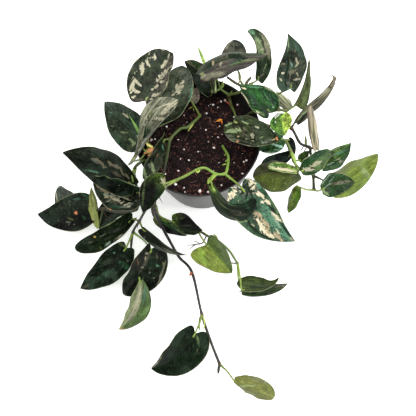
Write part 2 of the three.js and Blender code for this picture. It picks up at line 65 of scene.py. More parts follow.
Pair = tuple[float, float]
Point = tuple[float, float, float]
Shade = tuple[int, int, int]
Mark = tuple[float | Shade, ...]
MM = 0.001

# ---- sizes shared with the solids ----
POT_HEIGHT = 130.0
RIM_RADIUS = 76.0
BASE_RADIUS = 55.0
WALL = 1.8
FLOOR = 2.5
DRAIN_HOLES = 6
DRAIN_RADIUS = 5.0
DRAIN_CIRCLE = 32.0
SOIL_LEVEL = 105.0
SOIL_GAP = 0.35
CLOD_HEIGHT = 1.6
PETIOLE_RADIUS = 1.15
PETIOLE_END = 0.07
OUTLINE_RISE = 0.4
BLUNT_BASE = 0.04
TIP_HALF_WIDTH = 0.35
LOBE = 0.15
LOBE_REACH = 2.3
TIGHTEST_ROLL = 2.0
LEAST_ROLL = 1e-4
WIDEST_ROLL = math.radians(160)
LIGHT = np.array([0.0, -0.26, 0.97]) / math.hypot(0.26, 0.97)

# ---- fineness of the meshes ----
BLADE_ROWS = 84
HALF_COLUMNS = 26
ROWS_CROWDED = 0.7
COLUMNS_CROWDED = 0.8
STEM_SIDES = 14
PETIOLE_SIDES = 12
SPRIG_SIDES = 9
STEM_STEP = 1.6
SPRIG_STEP = 0.9

# ---- relief of blades and stems ----
BLADE_THICKNESS = 0.56
RIM_THINNING = 0.3
FURROW_DEPTH = 0.2
MIDRIB_GROOVE = 0.45
MIDRIB_RIDGE = 0.75
VEIN_SPACING = 4.2
PLAIN_WIDTH = 45.0
MARGIN_WAVE = 0.9
MARGIN_RIPPLE = 0.5
INLAND_RIPPLE = 0.3
TONE_CHANGE = 0.22
POLE_REACH = 0.6
NODE_SHADE: Shade = (104, 62, 40)
NODE_RING = 0.45

# ---- shades that many leaves share, in display values ----
CREAM: Shade = (164, 160, 136)
IVORY: Shade = (192, 182, 154)
SILVER: Shade = (134, 132, 110)
BLUSH: Shade = (148, 134, 106)
TEAL: Shade = (74, 110, 86)
DARK: Shade = (14, 28, 17)
RUST: Shade = (200, 130, 84)
YOUNG: Shade = (116, 148, 56)
# pale leaf margin: partly the leaf's own pale edge, partly a painted rim highlight
PALE_EDGE: Shade = (150, 148, 120)
TAN: Shade = (98, 94, 78)
GREY: Shade = (80, 84, 74)
OLIVE: Shade = (68, 80, 48)
MOSS: Shade = (110, 124, 88)
SHADE: Shade = (38, 42, 34)
PINE: Shade = (26, 52, 34)
BARK: Shade = (56, 54, 44)
MINT: Shade = (118, 138, 116)


class Face(Enum):
    """Which finish a face of a leafy stem takes."""

    UPPER = 0
    UNDER = 1
    STEM = 2


def linear(shade: Shade | Sequence[Shade]) -> Array:
    """Turns display values into linear ones: ((c + 0.055) / 1.055) to the power 2.4, or c / 12.92 if dark."""
    c = np.asarray(shade, float) / 255.0
    return np.where(c <= 0.04045, c / 12.92, ((c + 0.055) / 1.055) ** 2.4)


def unit(vectors: Array) -> Array:
    """Scales vectors in the last axis to length one."""
    return vectors / np.maximum(np.linalg.norm(vectors, axis=-1, keepdims=True), 1e-12)


def turns(count: int) -> Array:
    """Even steps of angle that make a full turn."""
    return 2 * math.pi * np.arange(count) / count


def polar(radius: Array | float, angle: Array) -> Array:
    """Flat places on circles: (r cos a, r sin a) in the last axis."""
    return np.stack([radius * np.cos(angle), radius * np.sin(angle)], axis=-1)


def hump(value: Array, middle: float, spread: float) -> Array:
    """A bell: e to the power of less the square of the distance from the middle in spreads."""
    return np.exp(-(((value - middle) / spread) ** 2))


def ease(low: float, high: float, value: Array) -> Array:
    """Rises smoothly from 0 at low to 1 at high: 3t squared less 2t cubed."""
    t = np.clip((value - low) / (high - low), 0.0, 1.0)
    return t * t * (3.0 - 2.0 * t)


def crowded(count: int, crowding: float) -> Array:
    """Stations from 0 to 1 that crowd towards both ends: s less crowding times sin(2 pi s) over 2 pi."""
    s = np.linspace(0.0, 1.0, count + 1)
    return s - crowding * np.sin(2.0 * math.pi * s) / (2.0 * math.pi)


def scattered(i: Array, j: Array, seed: float) -> Array:
    """A repeatable value from 0 to 1 for each whole-number cell (i, j): the fraction of a large sine."""
    raw = np.sin(i * 127.1 + j * 311.7 + seed * 74.7) * 43758.5453
    return raw - np.floor(raw)


def ripple(x: Array, y: Array, seed: float) -> Array:
    """Smooth irregular relief with a bump to each unit: cell values blended with eased weights.

    Args:
        x: first coordinate.
        y: second coordinate.
        seed: picks another relief.

    Returns:
        Values from -1 to 1.
    """
    i, j = np.floor(x), np.floor(y)
    a, b = ease(0, 1, x - i), ease(0, 1, y - j)
    low = scattered(i, j, seed) * (1 - a) + scattered(i + 1, j, seed) * a
    high = scattered(i, j + 1, seed) * (1 - a) + scattered(i + 1, j + 1, seed) * a
    return 2.0 * (low * (1 - b) + high * b) - 1.0


@dataclass
class Surface:
    """A piece before it is a mesh: points, faces, finish numbers (the quads' first) and per-point fields."""

    points: Array
    quads: Array
    triangles: Array = field(default_factory=lambda: np.empty((0, 3), int))
    finish: Array | int = 0
    fields: dict[str, Array] = field(default_factory=dict)

    def __post_init__(self) -> None:
        """Spreads a single finish number over all faces."""
        self.finish = np.broadcast_to(self.finish, len(self.quads) + len(self.triangles))

    @staticmethod
    def join(parts: Sequence["Surface"]) -> "Surface":
        """Puts several surfaces into one, with their faces renumbered.

        Args:
            parts: surfaces that all carry the same fields.

        Returns:
            The joined surface.
        """
        stack = np.concatenate
        numbered = list(zip(parts, np.cumsum([0] + [len(part.points) for part in parts])))
        finishes = [np.split(part.finish, [len(part.quads)]) for part in parts]
        return Surface(
            stack([part.points for part in parts]), stack([part.quads + start for part, start in numbered]),
            stack([part.triangles + start for part, start in numbered]),
            stack([own[0] for own in finishes] + [own[1] for own in finishes]),
            {name: stack([part.fields[name] for part in parts]) for name in parts[0].fields},
        )

    def make(self, name: str, materials: Sequence[Material]) -> Piece:
        """Writes the surface into a new smooth-shaded object at the origin.

        Args:
            name: name of the object.
            materials: its materials, in the order of the finish numbers.

        Returns:
            The object, linked to the scene.
        """
        mesh = bpy.data.meshes.new(name)
        corners = np.concatenate([self.quads.ravel(), self.triangles.ravel()]).astype(np.int32)
        sizes = np.repeat([4, 3], [len(self.quads), len(self.triangles)])
        mesh.vertices.add(len(self.points))
        mesh.vertices.foreach_set("co", (self.points * MM).astype(np.float32).ravel())
        mesh.loops.add(len(corners))
        mesh.loops.foreach_set("vertex_index", corners)
        faces = mesh.polygons
        faces.add(len(sizes))
        faces.foreach_set("loop_start", (np.cumsum(sizes) - sizes).astype(np.int32))
        faces.foreach_set("material_index", self.finish.astype(np.int32))
        faces.foreach_set("use_smooth", np.ones(len(sizes), bool))
        for key, values in self.fields.items():
            kind, entry = ("FLOAT_COLOR", "color") if values.shape[1] == 4 else ("FLOAT_VECTOR", "vector")
            layer = mesh.attributes.new(key, kind, "POINT")
            layer.data.foreach_set(entry, values.astype(np.float32).ravel())
        for material in materials:
            mesh.materials.append(material)
        mesh.update(calc_edges=True)
        mesh.validate()
        piece = bpy.data.objects.new(name, mesh)
        bpy.context.scene.collection.objects.link(piece)
        LOG.info("%s: %d points, %d faces", name, len(self.points), len(sizes))
        return piece


def settle(pieces: Sequence[Piece], node: str) -> None:
    """Puts finished pieces in place of a solid.

    Args:
        pieces: the pieces.
        node: name of the solid that they replace.
    """
    for piece in pieces:
        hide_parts(node)
        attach(piece, "root")


def opaque(colours: Array) -> Array:
    """Adds a full alpha value to each colour."""
    return np.concatenate([colours, np.ones(colours.shape[:-1] + (1,))], axis=-1)


def grid_quads(rows: int, columns: int, wrap: bool) -> Array:
    """Numbers the corners of each cell of a grid of points that runs row by row.

    Args:
        rows: number of rows of points.
        columns: number of points in a row.
        wrap: whether the last column joins the first.

    Returns:
        Four point numbers for each cell: here, next row, next row and column, next column.
    """
    i = np.arange(rows - 1)[:, None] * columns
    j = np.arange(columns if wrap else columns - 1)[None, :]
    k = (j + 1) % columns
    return np.stack([i + j, i + columns + j, i + columns + k, i + k], axis=-1).reshape(-1, 4)


def capped(rows: int, columns: int, flip: bool) -> tuple[Array, Array]:
    """Numbers the faces of rings of points, and of the two poles after them that close the ends.

    Args:
        rows: number of rings.
        columns: number of points in a ring.
        flip: whether the faces turn the other way.

    Returns:
        The quads between the rings and the triangles about the poles.
    """
    quads = grid_quads(rows, columns, True)
    j = np.arange(columns)
    k = (j + 1) % columns
    near, far = (k, j) if flip else (j, k)
    pole, last = np.full(columns, rows * columns), (rows - 1) * columns
    fans = [np.stack([pole, near, far], axis=-1), np.stack([pole + 1, last + far, last + near], axis=-1)]
    return quads[:, ::-1] if flip else quads, np.concatenate(fans)


def copies(faces: Array, size: int, count: int) -> Array:
    """Repeats a block's faces for several blocks of the same size, each numbered after the last."""
    return (faces[None] + size * np.arange(count)[:, None, None]).reshape(-1, faces.shape[1])


def smooth_route(points: Sequence[Point], step: float) -> tuple[Array, Array]:
    """Carries a smooth curve through the points: a Catmull-Rom spline with reflected ends.

    Each span is a cubic, whose slope at a point is half the step from the point before to the one after.

    Args:
        points: the points that the curve passes through.
        step: greatest distance between stations.

    Returns:
        The stations' places, and each one's position in spans from the start.
    """
    p = np.asarray(points, float)
    whole = np.concatenate([[2 * p[0] - p[1]], p, [2 * p[-1] - p[-2]]])
    lengths = np.linalg.norm(np.diff(p, axis=0), axis=1)
    parts = np.maximum(2, np.ceil(lengths / step).astype(int))
    inner = np.repeat(np.arange(len(parts)), parts) + np.concatenate([np.arange(n) / n for n in parts])
    spans = np.append(inner, len(parts))
    k = np.minimum(spans.astype(int), len(parts) - 1)
    t = (spans - k)[:, None]
    before, start, end, after = whole[k], whole[k + 1], whole[k + 2], whole[k + 3]
    leave, arrive = (end - before) / 2, (after - start) / 2
    place = (
        (2 * t**3 - 3 * t**2 + 1) * start + (t**3 - 2 * t**2 + t) * leave
        + (-2 * t**3 + 3 * t**2) * end + (t**3 - t**2) * arrive
    )
    return place, spans


def transported(route: Array) -> tuple[Array, Array, Array]:
    """Carries a cross direction along a route without twist, by taking out its part along each new tangent.

    Args:
        route: the stations' places.

    Returns:
        Each station's tangent, cross direction and third direction.
    """
    tangents = unit(np.gradient(route, axis=0))
    across = np.empty_like(tangents)
    current = np.array([1.0, 0.0, 0.0])
    if abs(tangents[0] @ current) > 0.95:
        current = np.array([0.0, 1.0, 0.0])
    for station, tangent in enumerate(tangents):
        current = current - tangent * (current @ tangent)
        current = current / np.linalg.norm(current)
        across[station] = current
    return tangents, across, np.cross(tangents, across)


def swept(route: Array, radii: Array, sides: int, flat: float, colours: Array, seed: float) -> Surface:
    """A bar along a route, closed by a pole at each end: centre + across r cos(a) + up r flat sin(a).

    Args:
        route: the stations' places.
        radii: the bar's radius at each station.
        sides: number of points round a section.
        flat: thickness of the section as a share of its width.
        colours: linear colour at each station.
        seed: number that shifts the bar's grain.

    Returns:
        The bar's surface with its fields.
    """
    tangents, across, up = transported(route)
    circle = polar(1.0, turns(sides))
    ring = (
        route[:, None] + across[:, None] * (radii[:, None] * circle[:, 0])[..., None]
        + up[:, None] * (radii[:, None] * flat * circle[:, 1])[..., None]
    )
    reach = tangents * radii[:, None] * POLE_REACH
    ends = np.stack([route[0] - reach[0], route[-1] + reach[-1]])
    length = np.concatenate([[0.0], np.cumsum(np.linalg.norm(np.diff(route, axis=0), axis=1))])
    lay = np.column_stack([np.repeat(length, sides), np.tile(2.0 * circle, (len(route), 1)) + [0.0, seed]])
    lay = np.concatenate([lay, [[0.0, 0.0, seed], [length[-1], 0.0, seed]]])
    tint = np.concatenate([np.repeat(colours, sides, axis=0), colours[[0, -1]]])
    points = np.concatenate([ring.reshape(-1, 3), ends])
    quads, triangles = capped(len(route), sides, True)
    return Surface(points, quads, triangles, Face.STEM.value, {"lay": lay, "tint": opaque(tint)})


@dataclass(frozen=True)
class Look:
    """Colours and markings of one leaf.

    Pairs give the half left of the midrib and the half right of it, as seen on the upper side with the tip
    pointing away. A mark is an oval: where its middle lies, as a share of the blade's length and in
    millimetres to the right; its half length and half breadth in millimetres; how far it turns from the
    midrib to the right in degrees; its shade; and, where it is soft, its strength.
    The colours carry painted light as well as the leaf's own colour. A near-black upper, under or half
    shade is painted shade for a leaf or half that lies in shade. Margin lays a pale edge that is partly the
    leaf's own and partly a painted rim highlight. Sheen lays soft lighter patches as painted sheen. Besides
    the real markings, many marks paint sheen, highlights, and shade in folds and under overlapping leaves.
    """

    upper: Shade = (26, 36, 24)
    under: Shade = (112, 124, 82)
    silver: Pair = (0.1, 0.1)
    band: float = 0.5
    young: float = 0.0
    right_half: Shade | None = None
    right_under: Shade | None = None
    margin: float = 0.25
    mottle: float = 0.5
    sheen: float = 0.3
    streaks: float = 0.15
    marked_below: bool = False
    marks: tuple[Mark, ...] = ()
    stalk: Shade | None = None


@dataclass(frozen=True)
class Leaf:
    """One leaf: its petiole's route out of the stem, its blade's shape and its look."""

    petiole: list[Point]
    base: Point
    tip: Point
    width: float
    turn: float
    bow: Pair
    sweep: float
    fold: float
    curl: Pair
    taper: float
    skew: float
    look: Look
    rise: float = OUTLINE_RISE

    def length(self) -> float:
        """Distance from base to tip."""
        return float(np.linalg.norm(np.subtract(self.tip, self.base)))

    def facing(self) -> Array:
        """The way that the upper side faces: the light's, made square to the blade, turned about its length.

        Returns:
            The unit direction.
        """
        along = unit(np.subtract(self.tip, self.base).astype(float))
        level = unit(LIGHT - along * (LIGHT @ along))
        turn = math.radians(self.turn)
        return level * math.cos(turn) + np.cross(along, level) * math.sin(turn)

    def midrib(self, u: Array) -> tuple[Array, Array]:
        """The midrib, a cubic Bezier curve from base to tip.

        Its handles stand at a third and two thirds of the chord, raised by bow and moved sideways by sweep.

        Args:
            u: shares of the way from base to tip.

        Returns:
            The places and the unit tangents.
        """
        base, tip = np.asarray(self.base, float), np.asarray(self.tip, float)
        chord = tip - base
        facing = self.facing()
        side = np.cross(unit(chord), facing) * self.sweep
        first = base + chord / 3 + facing * self.bow[0] + side
        second = base + chord * 2 / 3 + facing * self.bow[1] + side
        t = np.asarray(u, float)[:, None]
        place = (1 - t) ** 3 * base + 3 * (1 - t) ** 2 * t * first + 3 * (1 - t) * t**2 * second + t**3 * tip
        slope = (1 - t) ** 2 * (first - base) + 2 * (1 - t) * t * (second - first) + t**2 * (tip - second)
        return place, unit(slope)

    def half_width(self, u: Array) -> Array:
        """Half the blade's width: q to the rise times (1 - q) to the taper, scaled to reach half of width.

        Args:
            u: shares of the way from base to tip.

        Returns:
            The half width at each, in millimetres.
        """
        q = (u + BLUNT_BASE) / (1 + BLUNT_BASE)
        widest = self.rise / (self.rise + self.taper)
        top = widest**self.rise * (1 - widest) ** self.taper
        return self.width / 2 * q**self.rise * np.clip(1 - q, 0, 1) ** self.taper / top

    def blade(self, seed: int) -> Surface:
        """The blade as a closed thin shell with midrib, side veins and a slightly waved margin.

        Its halves are circular arcs across the midrib, raised by fold and rolled by curl, with lobes swept
        back past the petiole. Relief moves the middle surface along its normal: a groove along the midrib,
        one along each side vein, and a wave that grows with the square of the share across.

        Args:
            seed: number that sets the leaf's own markings.

        Returns:
            The shell with its fields.
        """
        stations = crowded(HALF_COLUMNS, COLUMNS_CROWDED)
        v = np.concatenate([-stations[:0:-1], stations])[None, :]
        u = crowded(BLADE_ROWS, ROWS_CROWDED)
        rows, columns = len(u), v.shape[1]
        place, forward = self.midrib(u)
        facing = self.facing()
        normal = unit(facing - forward * (forward @ facing)[:, None])
        lateral = np.cross(forward, normal)
        share, sign = np.abs(v), np.sign(v)
        lopsided = 1 + self.skew * sign
        u2 = u[:, None]
        half = np.maximum(self.half_width(u)[:, None] * lopsided, TIP_HALF_WIDTH)
        fold = math.radians(self.fold)
        asked = np.radians(self.curl[0] + (self.curl[1] - self.curl[0]) * u2)
        limit = half / TIGHTEST_ROLL
        roll = np.minimum(np.clip(asked, -limit, limit), WIDEST_ROLL - 1.5 * max(fold, 0.0))
        roll = np.where(np.abs(roll) < LEAST_ROLL, LEAST_ROLL, roll)
        angle = fold + roll * share
        outward = half * (np.sin(angle) - math.sin(fold)) / roll
        raised = half * (math.cos(fold) - np.cos(angle)) / roll
        back = LOBE * self.width * lopsided * np.sin(LOBE_REACH * share) * (1 - u2) ** 4
        middle = (
            place[:, None] + lateral[:, None] * (outward * sign)[..., None]
            + normal[:, None] * raised[..., None] - forward[:, None] * back[..., None]
        )

        length = self.length()
        along = u2 * length - back
        across = half * share
        lean = -0.25 + 1.15 * ease(0.0, 0.45, u2)
        veins = (along - lean * across) / (VEIN_SPACING + 0.03 * length) + 0.23 * sign
        out = unit(np.cross(np.gradient(middle, axis=1), np.gradient(middle, axis=0)))
        inland = np.sin(math.pi * np.clip(share, 0, 1)) ** 0.6 * ease(0.0, 0.08, 1 - u2)
        quilt = FURROW_DEPTH * (0.5 + 0.5 * np.cos(2 * math.pi * veins)) ** 3 * inland
        rib = MIDRIB_GROOVE * hump(across, 0.0, 1.1) * ease(0.0, 0.25, 1 - u2)
        size = self.width / PLAIN_WIDTH
        swing = np.sin(4.6 * math.pi * u2 + seed + 1.3 * sign)
        wave = MARGIN_WAVE * size * share**2 * np.sqrt(4 * u2 * (1 - u2)) * swing
        quick = ripple(along / 9.0 + seed, sign * 3.0 + 0 * along, seed)
        wave = wave + MARGIN_RIPPLE * size * share**3 * quick
        slow = ripple(along / 12.0, across * sign / 8.0 + seed, seed + 5)
        wave = wave + INLAND_RIPPLE * size * inland * slow
        middle = middle + out * (wave - quilt - rib)[..., None]
        thick = (BLADE_THICKNESS - RIM_THINNING * share**8) * (0.35 + 0.65 * ease(0.0, 0.1, 1 - u2))
        ridge = MIDRIB_RIDGE * hump(across, 0.0, 1.3) * ease(0.0, 0.5, 1 - u2)
        top = middle + out * (thick / 2)[..., None]
        bottom = middle - out * (thick / 2 + ridge)[..., None]

        count = rows * columns
        quads = grid_quads(rows, columns, False)
        i, j = np.arange(rows - 1), np.arange(columns - 1)
        rim = np.concatenate([j, i * columns + columns - 1, count - 1 - j, (rows - 1 - i) * columns])
        after = np.roll(rim, -1)
        edge = np.stack([after, rim, rim + count, after + count], axis=-1)
        finish = np.repeat([Face.UPPER.value, Face.UNDER.value], [len(quads), len(quads) + len(edge)])
        return Surface(
            points=np.concatenate([top.reshape(-1, 3), bottom.reshape(-1, 3)]),
            quads=np.concatenate([quads[:, ::-1], quads + count, edge]),
            finish=finish,
            fields=self.fields(u2, share, sign, along, across, veins, seed),
        )

    def fields(
        self, u: Array, share: Array, sign: Array, along: Array, across: Array, veins: Array, seed: int
    ) -> dict[str, Array]:
        """Works out what the materials read at each point. Silver fades from a band towards base and tip.

        Args:
            u: share of the way along.
            share: share of the way from midrib to margin.
            sign: -1 on the left half, 1 on the right half.
            along: distance along the blade.
            across: distance from the midrib.
            veins: number of the side vein, whole on a vein.
            seed: number that sets the leaf's own markings.

        Returns:
            Flat arrays, the upper side's points first: lay (along, signed across, seed), vein (number, share,
            distance from the midrib), marks (silver, mottle, sheen), more (streaks, 0, 0), tint (colour) and
            patch (a crisp mark's colour, with its height in place of alpha).
        """
        look = self.look
        full = np.ones_like(along)
        aside = across * sign
        right = ease(-0.12, 0.12, share * sign) * full
        strength = hump(share, look.band, 0.3) * np.sin(math.pi * np.clip(u, 0, 1)) ** 0.45
        silver = (look.silver[0] * (1 - right) + look.silver[1] * right) * strength
        slow = ripple(along / 14.0 + seed, aside / 11.0, seed + 3)
        young = look.young * ease(0.38, 0.0, u + 0.1 * slow) * full
        edge = look.margin * ease(0.955, 0.99, share)[..., None] * full[..., None]
        tints, patches = [], []
        for below, own, other in ((False, look.upper, look.right_half), (True, look.under, look.right_under)):
            tint = self.colour(own, other, (right, young, slow))
            patch = np.zeros(full.shape + (4,))
            if below == look.marked_below:
                tint, patch = self.marked(along, aside, tint, patch)
            if not below:
                # pale margin: partly the leaf's own pale edge, partly a painted rim highlight
                tint = tint * (1 - edge) + linear(PALE_EDGE) * edge
            tints.append(tint.reshape(-1, 3))
            patches.append(patch.reshape(-1, 4))
        still = {
            "lay": (along, aside, full * seed * 7.3), "vein": (veins * full, share * full, across * full),
            "marks": (silver * full, look.mottle * full, look.sheen * full),
            "more": (look.streaks * full, 0 * full, 0 * full),
        }
        rows = {key: np.stack(values, axis=-1).reshape(-1, 3) for key, values in still.items()}
        both = {key: np.tile(values, (2, 1)) for key, values in rows.items()}
        return both | {"tint": opaque(np.concatenate(tints)), "patch": np.concatenate(patches)}

    def marked(self, along: Array, aside: Array, tint: Array, patch: Array) -> tuple[Array, Array]:
        """Lays the leaf's marks on a side.

        A mark's height is 1 less the distance from its middle, measured in its own half length and breadth.

        Args:
            along: distance along the blade.
            aside: signed distance across it.
            tint: the side's colour so far.
            patch: its strongest crisp mark so far.

        Returns:
            The colour with the soft marks washed in, and the strongest crisp mark, its height from 0 to 1.
        """
        length = self.length()
        # marks hold the leaf's own markings and also painted sheen, painted highlights, and painted shade in
        # folds and under overlapping leaves
        for share, offset, long, wide, lean, shade, *soft in self.look.marks:
            turn = math.radians(lean)
            ahead, beside = along - share * length, aside - offset
            height = 1 - np.hypot(
                (ahead * math.cos(turn) + beside * math.sin(turn)) / max(long, 1.2),
                (beside * math.cos(turn) - ahead * math.sin(turn)) / max(wide, 1.0),
            )
            if soft:
                wash = soft[0] * ease(-0.25, 0.5, height)[..., None]
                tint = tint * (1 - wash) + linear(shade) * wash
            else:
                level = np.clip(height * max(0.5, 2.2 / wide) + 0.5, 0, 1)[..., None]
                mine = np.concatenate([np.broadcast_to(linear(shade), tint.shape), level], axis=-1)
                patch = np.where((level >= patch[..., 3:]) & (level > 0), mine, patch)
        return tint, patch

    @staticmethod
    def colour(left: Shade, right: Shade | None, shares: tuple[Array, Array, Array]) -> Array:
        """One side's colour: from the left half's to the right half's, then towards young green, then varied.

        Args:
            left: the left half's colour.
            right: the right half's, where it differs.
            shares: how much is right half, how much is young, and the change of tone from -1 to 1.

        Returns:
            A linear colour for each point.
        """
        blend, young, slow = (share[..., None] for share in shares)
        own = linear(left) * (1 - blend) + linear(right or left) * blend
        return (own * (1 - young) + linear(YOUNG) * young) * (1 + TONE_CHANGE * slow)

    def stalk(self, tints: tuple[Shade, Shade], seed: int) -> Surface:
        """The petiole, from the stem to a little way along the midrib, thicker towards its ends.

        Args:
            tints: its colour at the stem and at the blade.
            seed: number that shifts its grain.

        Returns:
            The petiole's surface.
        """
        end, _ = self.midrib(np.array([PETIOLE_END]))
        route, spans = smooth_route([*self.petiole, self.base, tuple(end[0])], STEM_STEP)
        s = spans / spans[-1]
        radii = PETIOLE_RADIUS * (1.0 + 0.55 * hump(s, 0.0, 0.16) + 0.18 * hump(s, 0.86, 0.1))
        radii = radii * (1 - 0.45 * ease(0.9, 1.0, s))
        near, far = (self.look.stalk, self.look.stalk) if self.look.stalk else tints
        colours = linear(near) * (1 - s[:, None]) + linear(far) * s[:, None]
        return swept(route, radii, PETIOLE_SIDES, 0.9, colours, float(seed))


@dataclass(frozen=True)
class Sprig:
    """A small part of a stem: an aerial root, a bud, a sheath or a stub."""

    route: list[Point]
    radii: tuple[float, ...]
    tint: Shade
    flat: float = 1.0

    def bar(self, seed: int) -> Surface:
        """The part as a bar whose radius runs through the given values.

        Args:
            seed: number that shifts its grain.

        Returns:
            The bar's surface.
        """
        route, spans = smooth_route(self.route, SPRIG_STEP)
        radii = np.interp(spans / spans[-1], np.linspace(0, 1, len(self.radii)), self.radii)
        colours = np.broadcast_to(linear(self.tint), route.shape)
        return swept(route, radii, SPRIG_SIDES, self.flat, colours, float(seed))


@dataclass(frozen=True)
class Vine:
    """A leafy stem: its route, its leaves, its colours along the way and its small parts."""

    name: str
    radius: float
    stem: list[Point]
    leaves: list[Leaf]
    tints: tuple[tuple[float, Shade], ...] = ((0.0, (84, 104, 48)), (1.0, (40, 48, 28)))
    stalks: tuple[Shade, Shade] = ((66, 80, 40), (104, 126, 60))
    sprigs: tuple[Sprig, ...] = ()
    stem_seed: float = 3.0
    first_sprig_seed: int = 60

    def stem_surface(self) -> Surface:
        """The stem and its joints: a bar that swells where leaves leave it, and thins to its end.

        Returns:
            The stem's surface.
        """
        route, spans = smooth_route(self.stem, STEM_STEP)
        joints = np.array([leaf.petiole[0] for leaf in self.leaves], float)
        distance = np.linalg.norm(route[:, None] - joints[None], axis=-1).min(axis=1)
        s = spans / spans[-1]
        swell = 1 + 0.4 * hump(distance, 0.0, 2.4) + 0.04 * np.sin(spans * 5.0)
        radii = self.radius * (1.04 - 0.04 * s) * swell
        shares = [share for share, _ in self.tints]
        shades = linear([shade for _, shade in self.tints])
        colours = np.stack([np.interp(s, shares, shades[:, c]) for c in range(3)], axis=-1)
        ring = NODE_RING * hump(distance, 0.0, 1.3)[:, None]
        colours = colours * (1 - ring) + linear(NODE_SHADE) * ring
        return swept(route, radii, STEM_SIDES, 1.0, colours, self.stem_seed)

    def build(self, materials: Sequence[Material], first_seed: int) -> None:
        """Makes the vine's blades and its stems as two pieces in place of its solid.

        Args:
            materials: upper side, underside and stem.
            first_seed: seed of its first leaf.
        """
        seeded = list(enumerate(self.leaves, first_seed))
        blades = Surface.join([leaf.blade(seed) for seed, leaf in seeded])
        bars = [self.stem_surface()]
        bars += [leaf.stalk(self.stalks, seed) for seed, leaf in seeded]
        bars += [sprig.bar(seed) for seed, sprig in enumerate(self.sprigs, self.first_sprig_seed)]
        pieces = [
            blades.make(f"blades_{self.name}", materials),
            Surface.join(bars).make(f"stems_{self.name}", materials),
        ]
        settle(pieces, f"vine_{self.name}")


class Board:
    """A node tree with short ways to add its nodes and joins."""

    def __init__(self, tree: Tree) -> None:
        """Keeps the tree and empties it."""
        self.tree = tree
        tree.nodes.clear()

    def feed(self, node: Node, sockets: dict[int | str, object]) -> Node:
        """Feeds a node's inputs.

        Args:
            node: the node.
            sockets: for each input, by name or number, a value or the output socket that feeds it.

        Returns:
            The same node.
        """
        for key, value in sockets.items():
            if isinstance(value, Socket):
                self.tree.links.new(value, node.inputs[key])
            else:
                node.inputs[key].default_value = value
        return node

    def add(self, kind: str, sockets: dict[int | str, object] | None = None, **settings: object) -> Node:
        """Adds a node, sets it up and feeds its sockets.

        Args:
            kind: the node's type name.
            sockets: what feeds its inputs.
            settings: properties of the node itself.

        Returns:
            The node.
        """
        node = self.tree.nodes.new(kind)
        for key, value in settings.items():
            setattr(node, key, value)
        return self.feed(node, sockets or {})

    def read(self, name: str, output: str = "Vector") -> Socket:
        """Reads one of the piece's own fields."""
        return self.add("ShaderNodeAttribute", attribute_name=name).outputs[output]

    def place(self) -> Socket:
        """Reads the place on the piece, in metres."""
        return self.add("ShaderNodeTexCoord").outputs["Object"]

    def split(self, vector: Socket) -> list[Socket]:
        """Takes a vector apart into its three values."""
        return list(self.add("ShaderNodeSeparateXYZ", {0: vector}).outputs)

    def join(self, x: object, y: object, z: object) -> Socket:
        """Puts three values together as a vector."""
        return self.add("ShaderNodeCombineXYZ", {0: x, 1: y, 2: z}).outputs[0]

    def math(self, operation: str, a: object, b: object = 0.0, c: object = 0.0) -> Socket:
        """Works out one sum, such as ADD, on two or three values or sockets."""
        return self.add("ShaderNodeMath", {0: a, 1: b, 2: c}, operation=operation).outputs[0]

    def plus(self, a: object, b: object) -> Socket:
        """Adds two values."""
        return self.math("ADD", a, b)

    def less(self, a: object, b: object) -> Socket:
        """Takes the second value from the first."""
        return self.math("SUBTRACT", a, b)

    def times(self, a: object, b: object) -> Socket:
        """Multiplies two values."""
        return self.math("MULTIPLY", a, b)

    def step(self, value: object, low: object, high: object) -> Socket:
        """Rises smoothly from 0 at low to 1 at high."""
        sockets = {0: value, 1: low, 2: high, 3: 0.0, 4: 1.0}
        return self.add("ShaderNodeMapRange", sockets, interpolation_type="SMOOTHSTEP").outputs[0]

    def blend(self, share: object, a: object, b: object) -> Socket:
        """Mixes two colours, each plain values or a socket, with a share of the second."""
        a, b = (value if isinstance(value, Socket) else (*value, 1.0) for value in (a, b))
        return self.add("ShaderNodeMix", {0: share, 6: a, 7: b}, data_type="RGBA").outputs[2]

    def wash(self, base: Socket, mask: Socket, strength: object, colour: object) -> Socket:
        """Lays a colour over another, in strength, where a mask shows."""
        return self.blend(self.times(mask, strength), base, colour)

    def scale(self, vector: Socket, by: Point) -> Socket:
        """Multiplies a vector by three factors."""
        return self.add("ShaderNodeVectorMath", {0: vector, 1: by}, operation="MULTIPLY").outputs[0]

    def dim(self, colour: Socket, factor: object) -> Socket:
        """Multiplies a colour by one factor."""
        return self.add("ShaderNodeVectorMath", {0: colour, 3: factor}, operation="SCALE").outputs[0]

    def use(self, group: Tree, *given: object) -> list[Socket]:
        """Adds a shared group, fed in the order of its inputs, and gives its outputs."""
        return list(self.add("ShaderNodeGroup", dict(enumerate(given)), node_tree=group).outputs)

    def noise(self, vector: Socket, scale: float, detail: float = 2.0) -> Socket:
        """Adds soft three-dimensional noise with so many bumps to a unit and so many finer layers."""
        return self.add("ShaderNodeTexNoise", {"Vector": vector, "Scale": scale, "Detail": detail}).outputs[0]

    def cells(self, vector: Socket, scale: float) -> Socket:
        """Adds the distance from the nearest of scattered points, with so many points to a unit."""
        return self.add("ShaderNodeTexVoronoi", {"Vector": vector, "Scale": scale}, feature="F1").outputs[0]


class Group(Board):
    """The board of a new shared group of nodes."""

    def __init__(self, name: str, inputs: dict[str, str], outputs: Sequence[str]) -> None:
        """Makes the group.

        Args:
            name: name of the group.
            inputs: kind of socket for each input name, such as Vector.
            outputs: names of its outputs, which are all values.
        """
        super().__init__(bpy.data.node_groups.new(name, "ShaderNodeTree"))
        for label, kind in inputs.items():
            self.tree.interface.new_socket(name=label, in_out="INPUT", socket_type=f"NodeSocket{kind}")
        for label in outputs:
            self.tree.interface.new_socket(name=label, in_out="OUTPUT", socket_type="NodeSocketFloat")
        self.given = list(self.add("NodeGroupInput").outputs)[:len(inputs)]

    def done(self, *results: Socket) -> Tree:
        """Feeds the group's outputs in their order and gives its tree."""
        self.add("NodeGroupOutput", dict(enumerate(results)))
        return self.tree


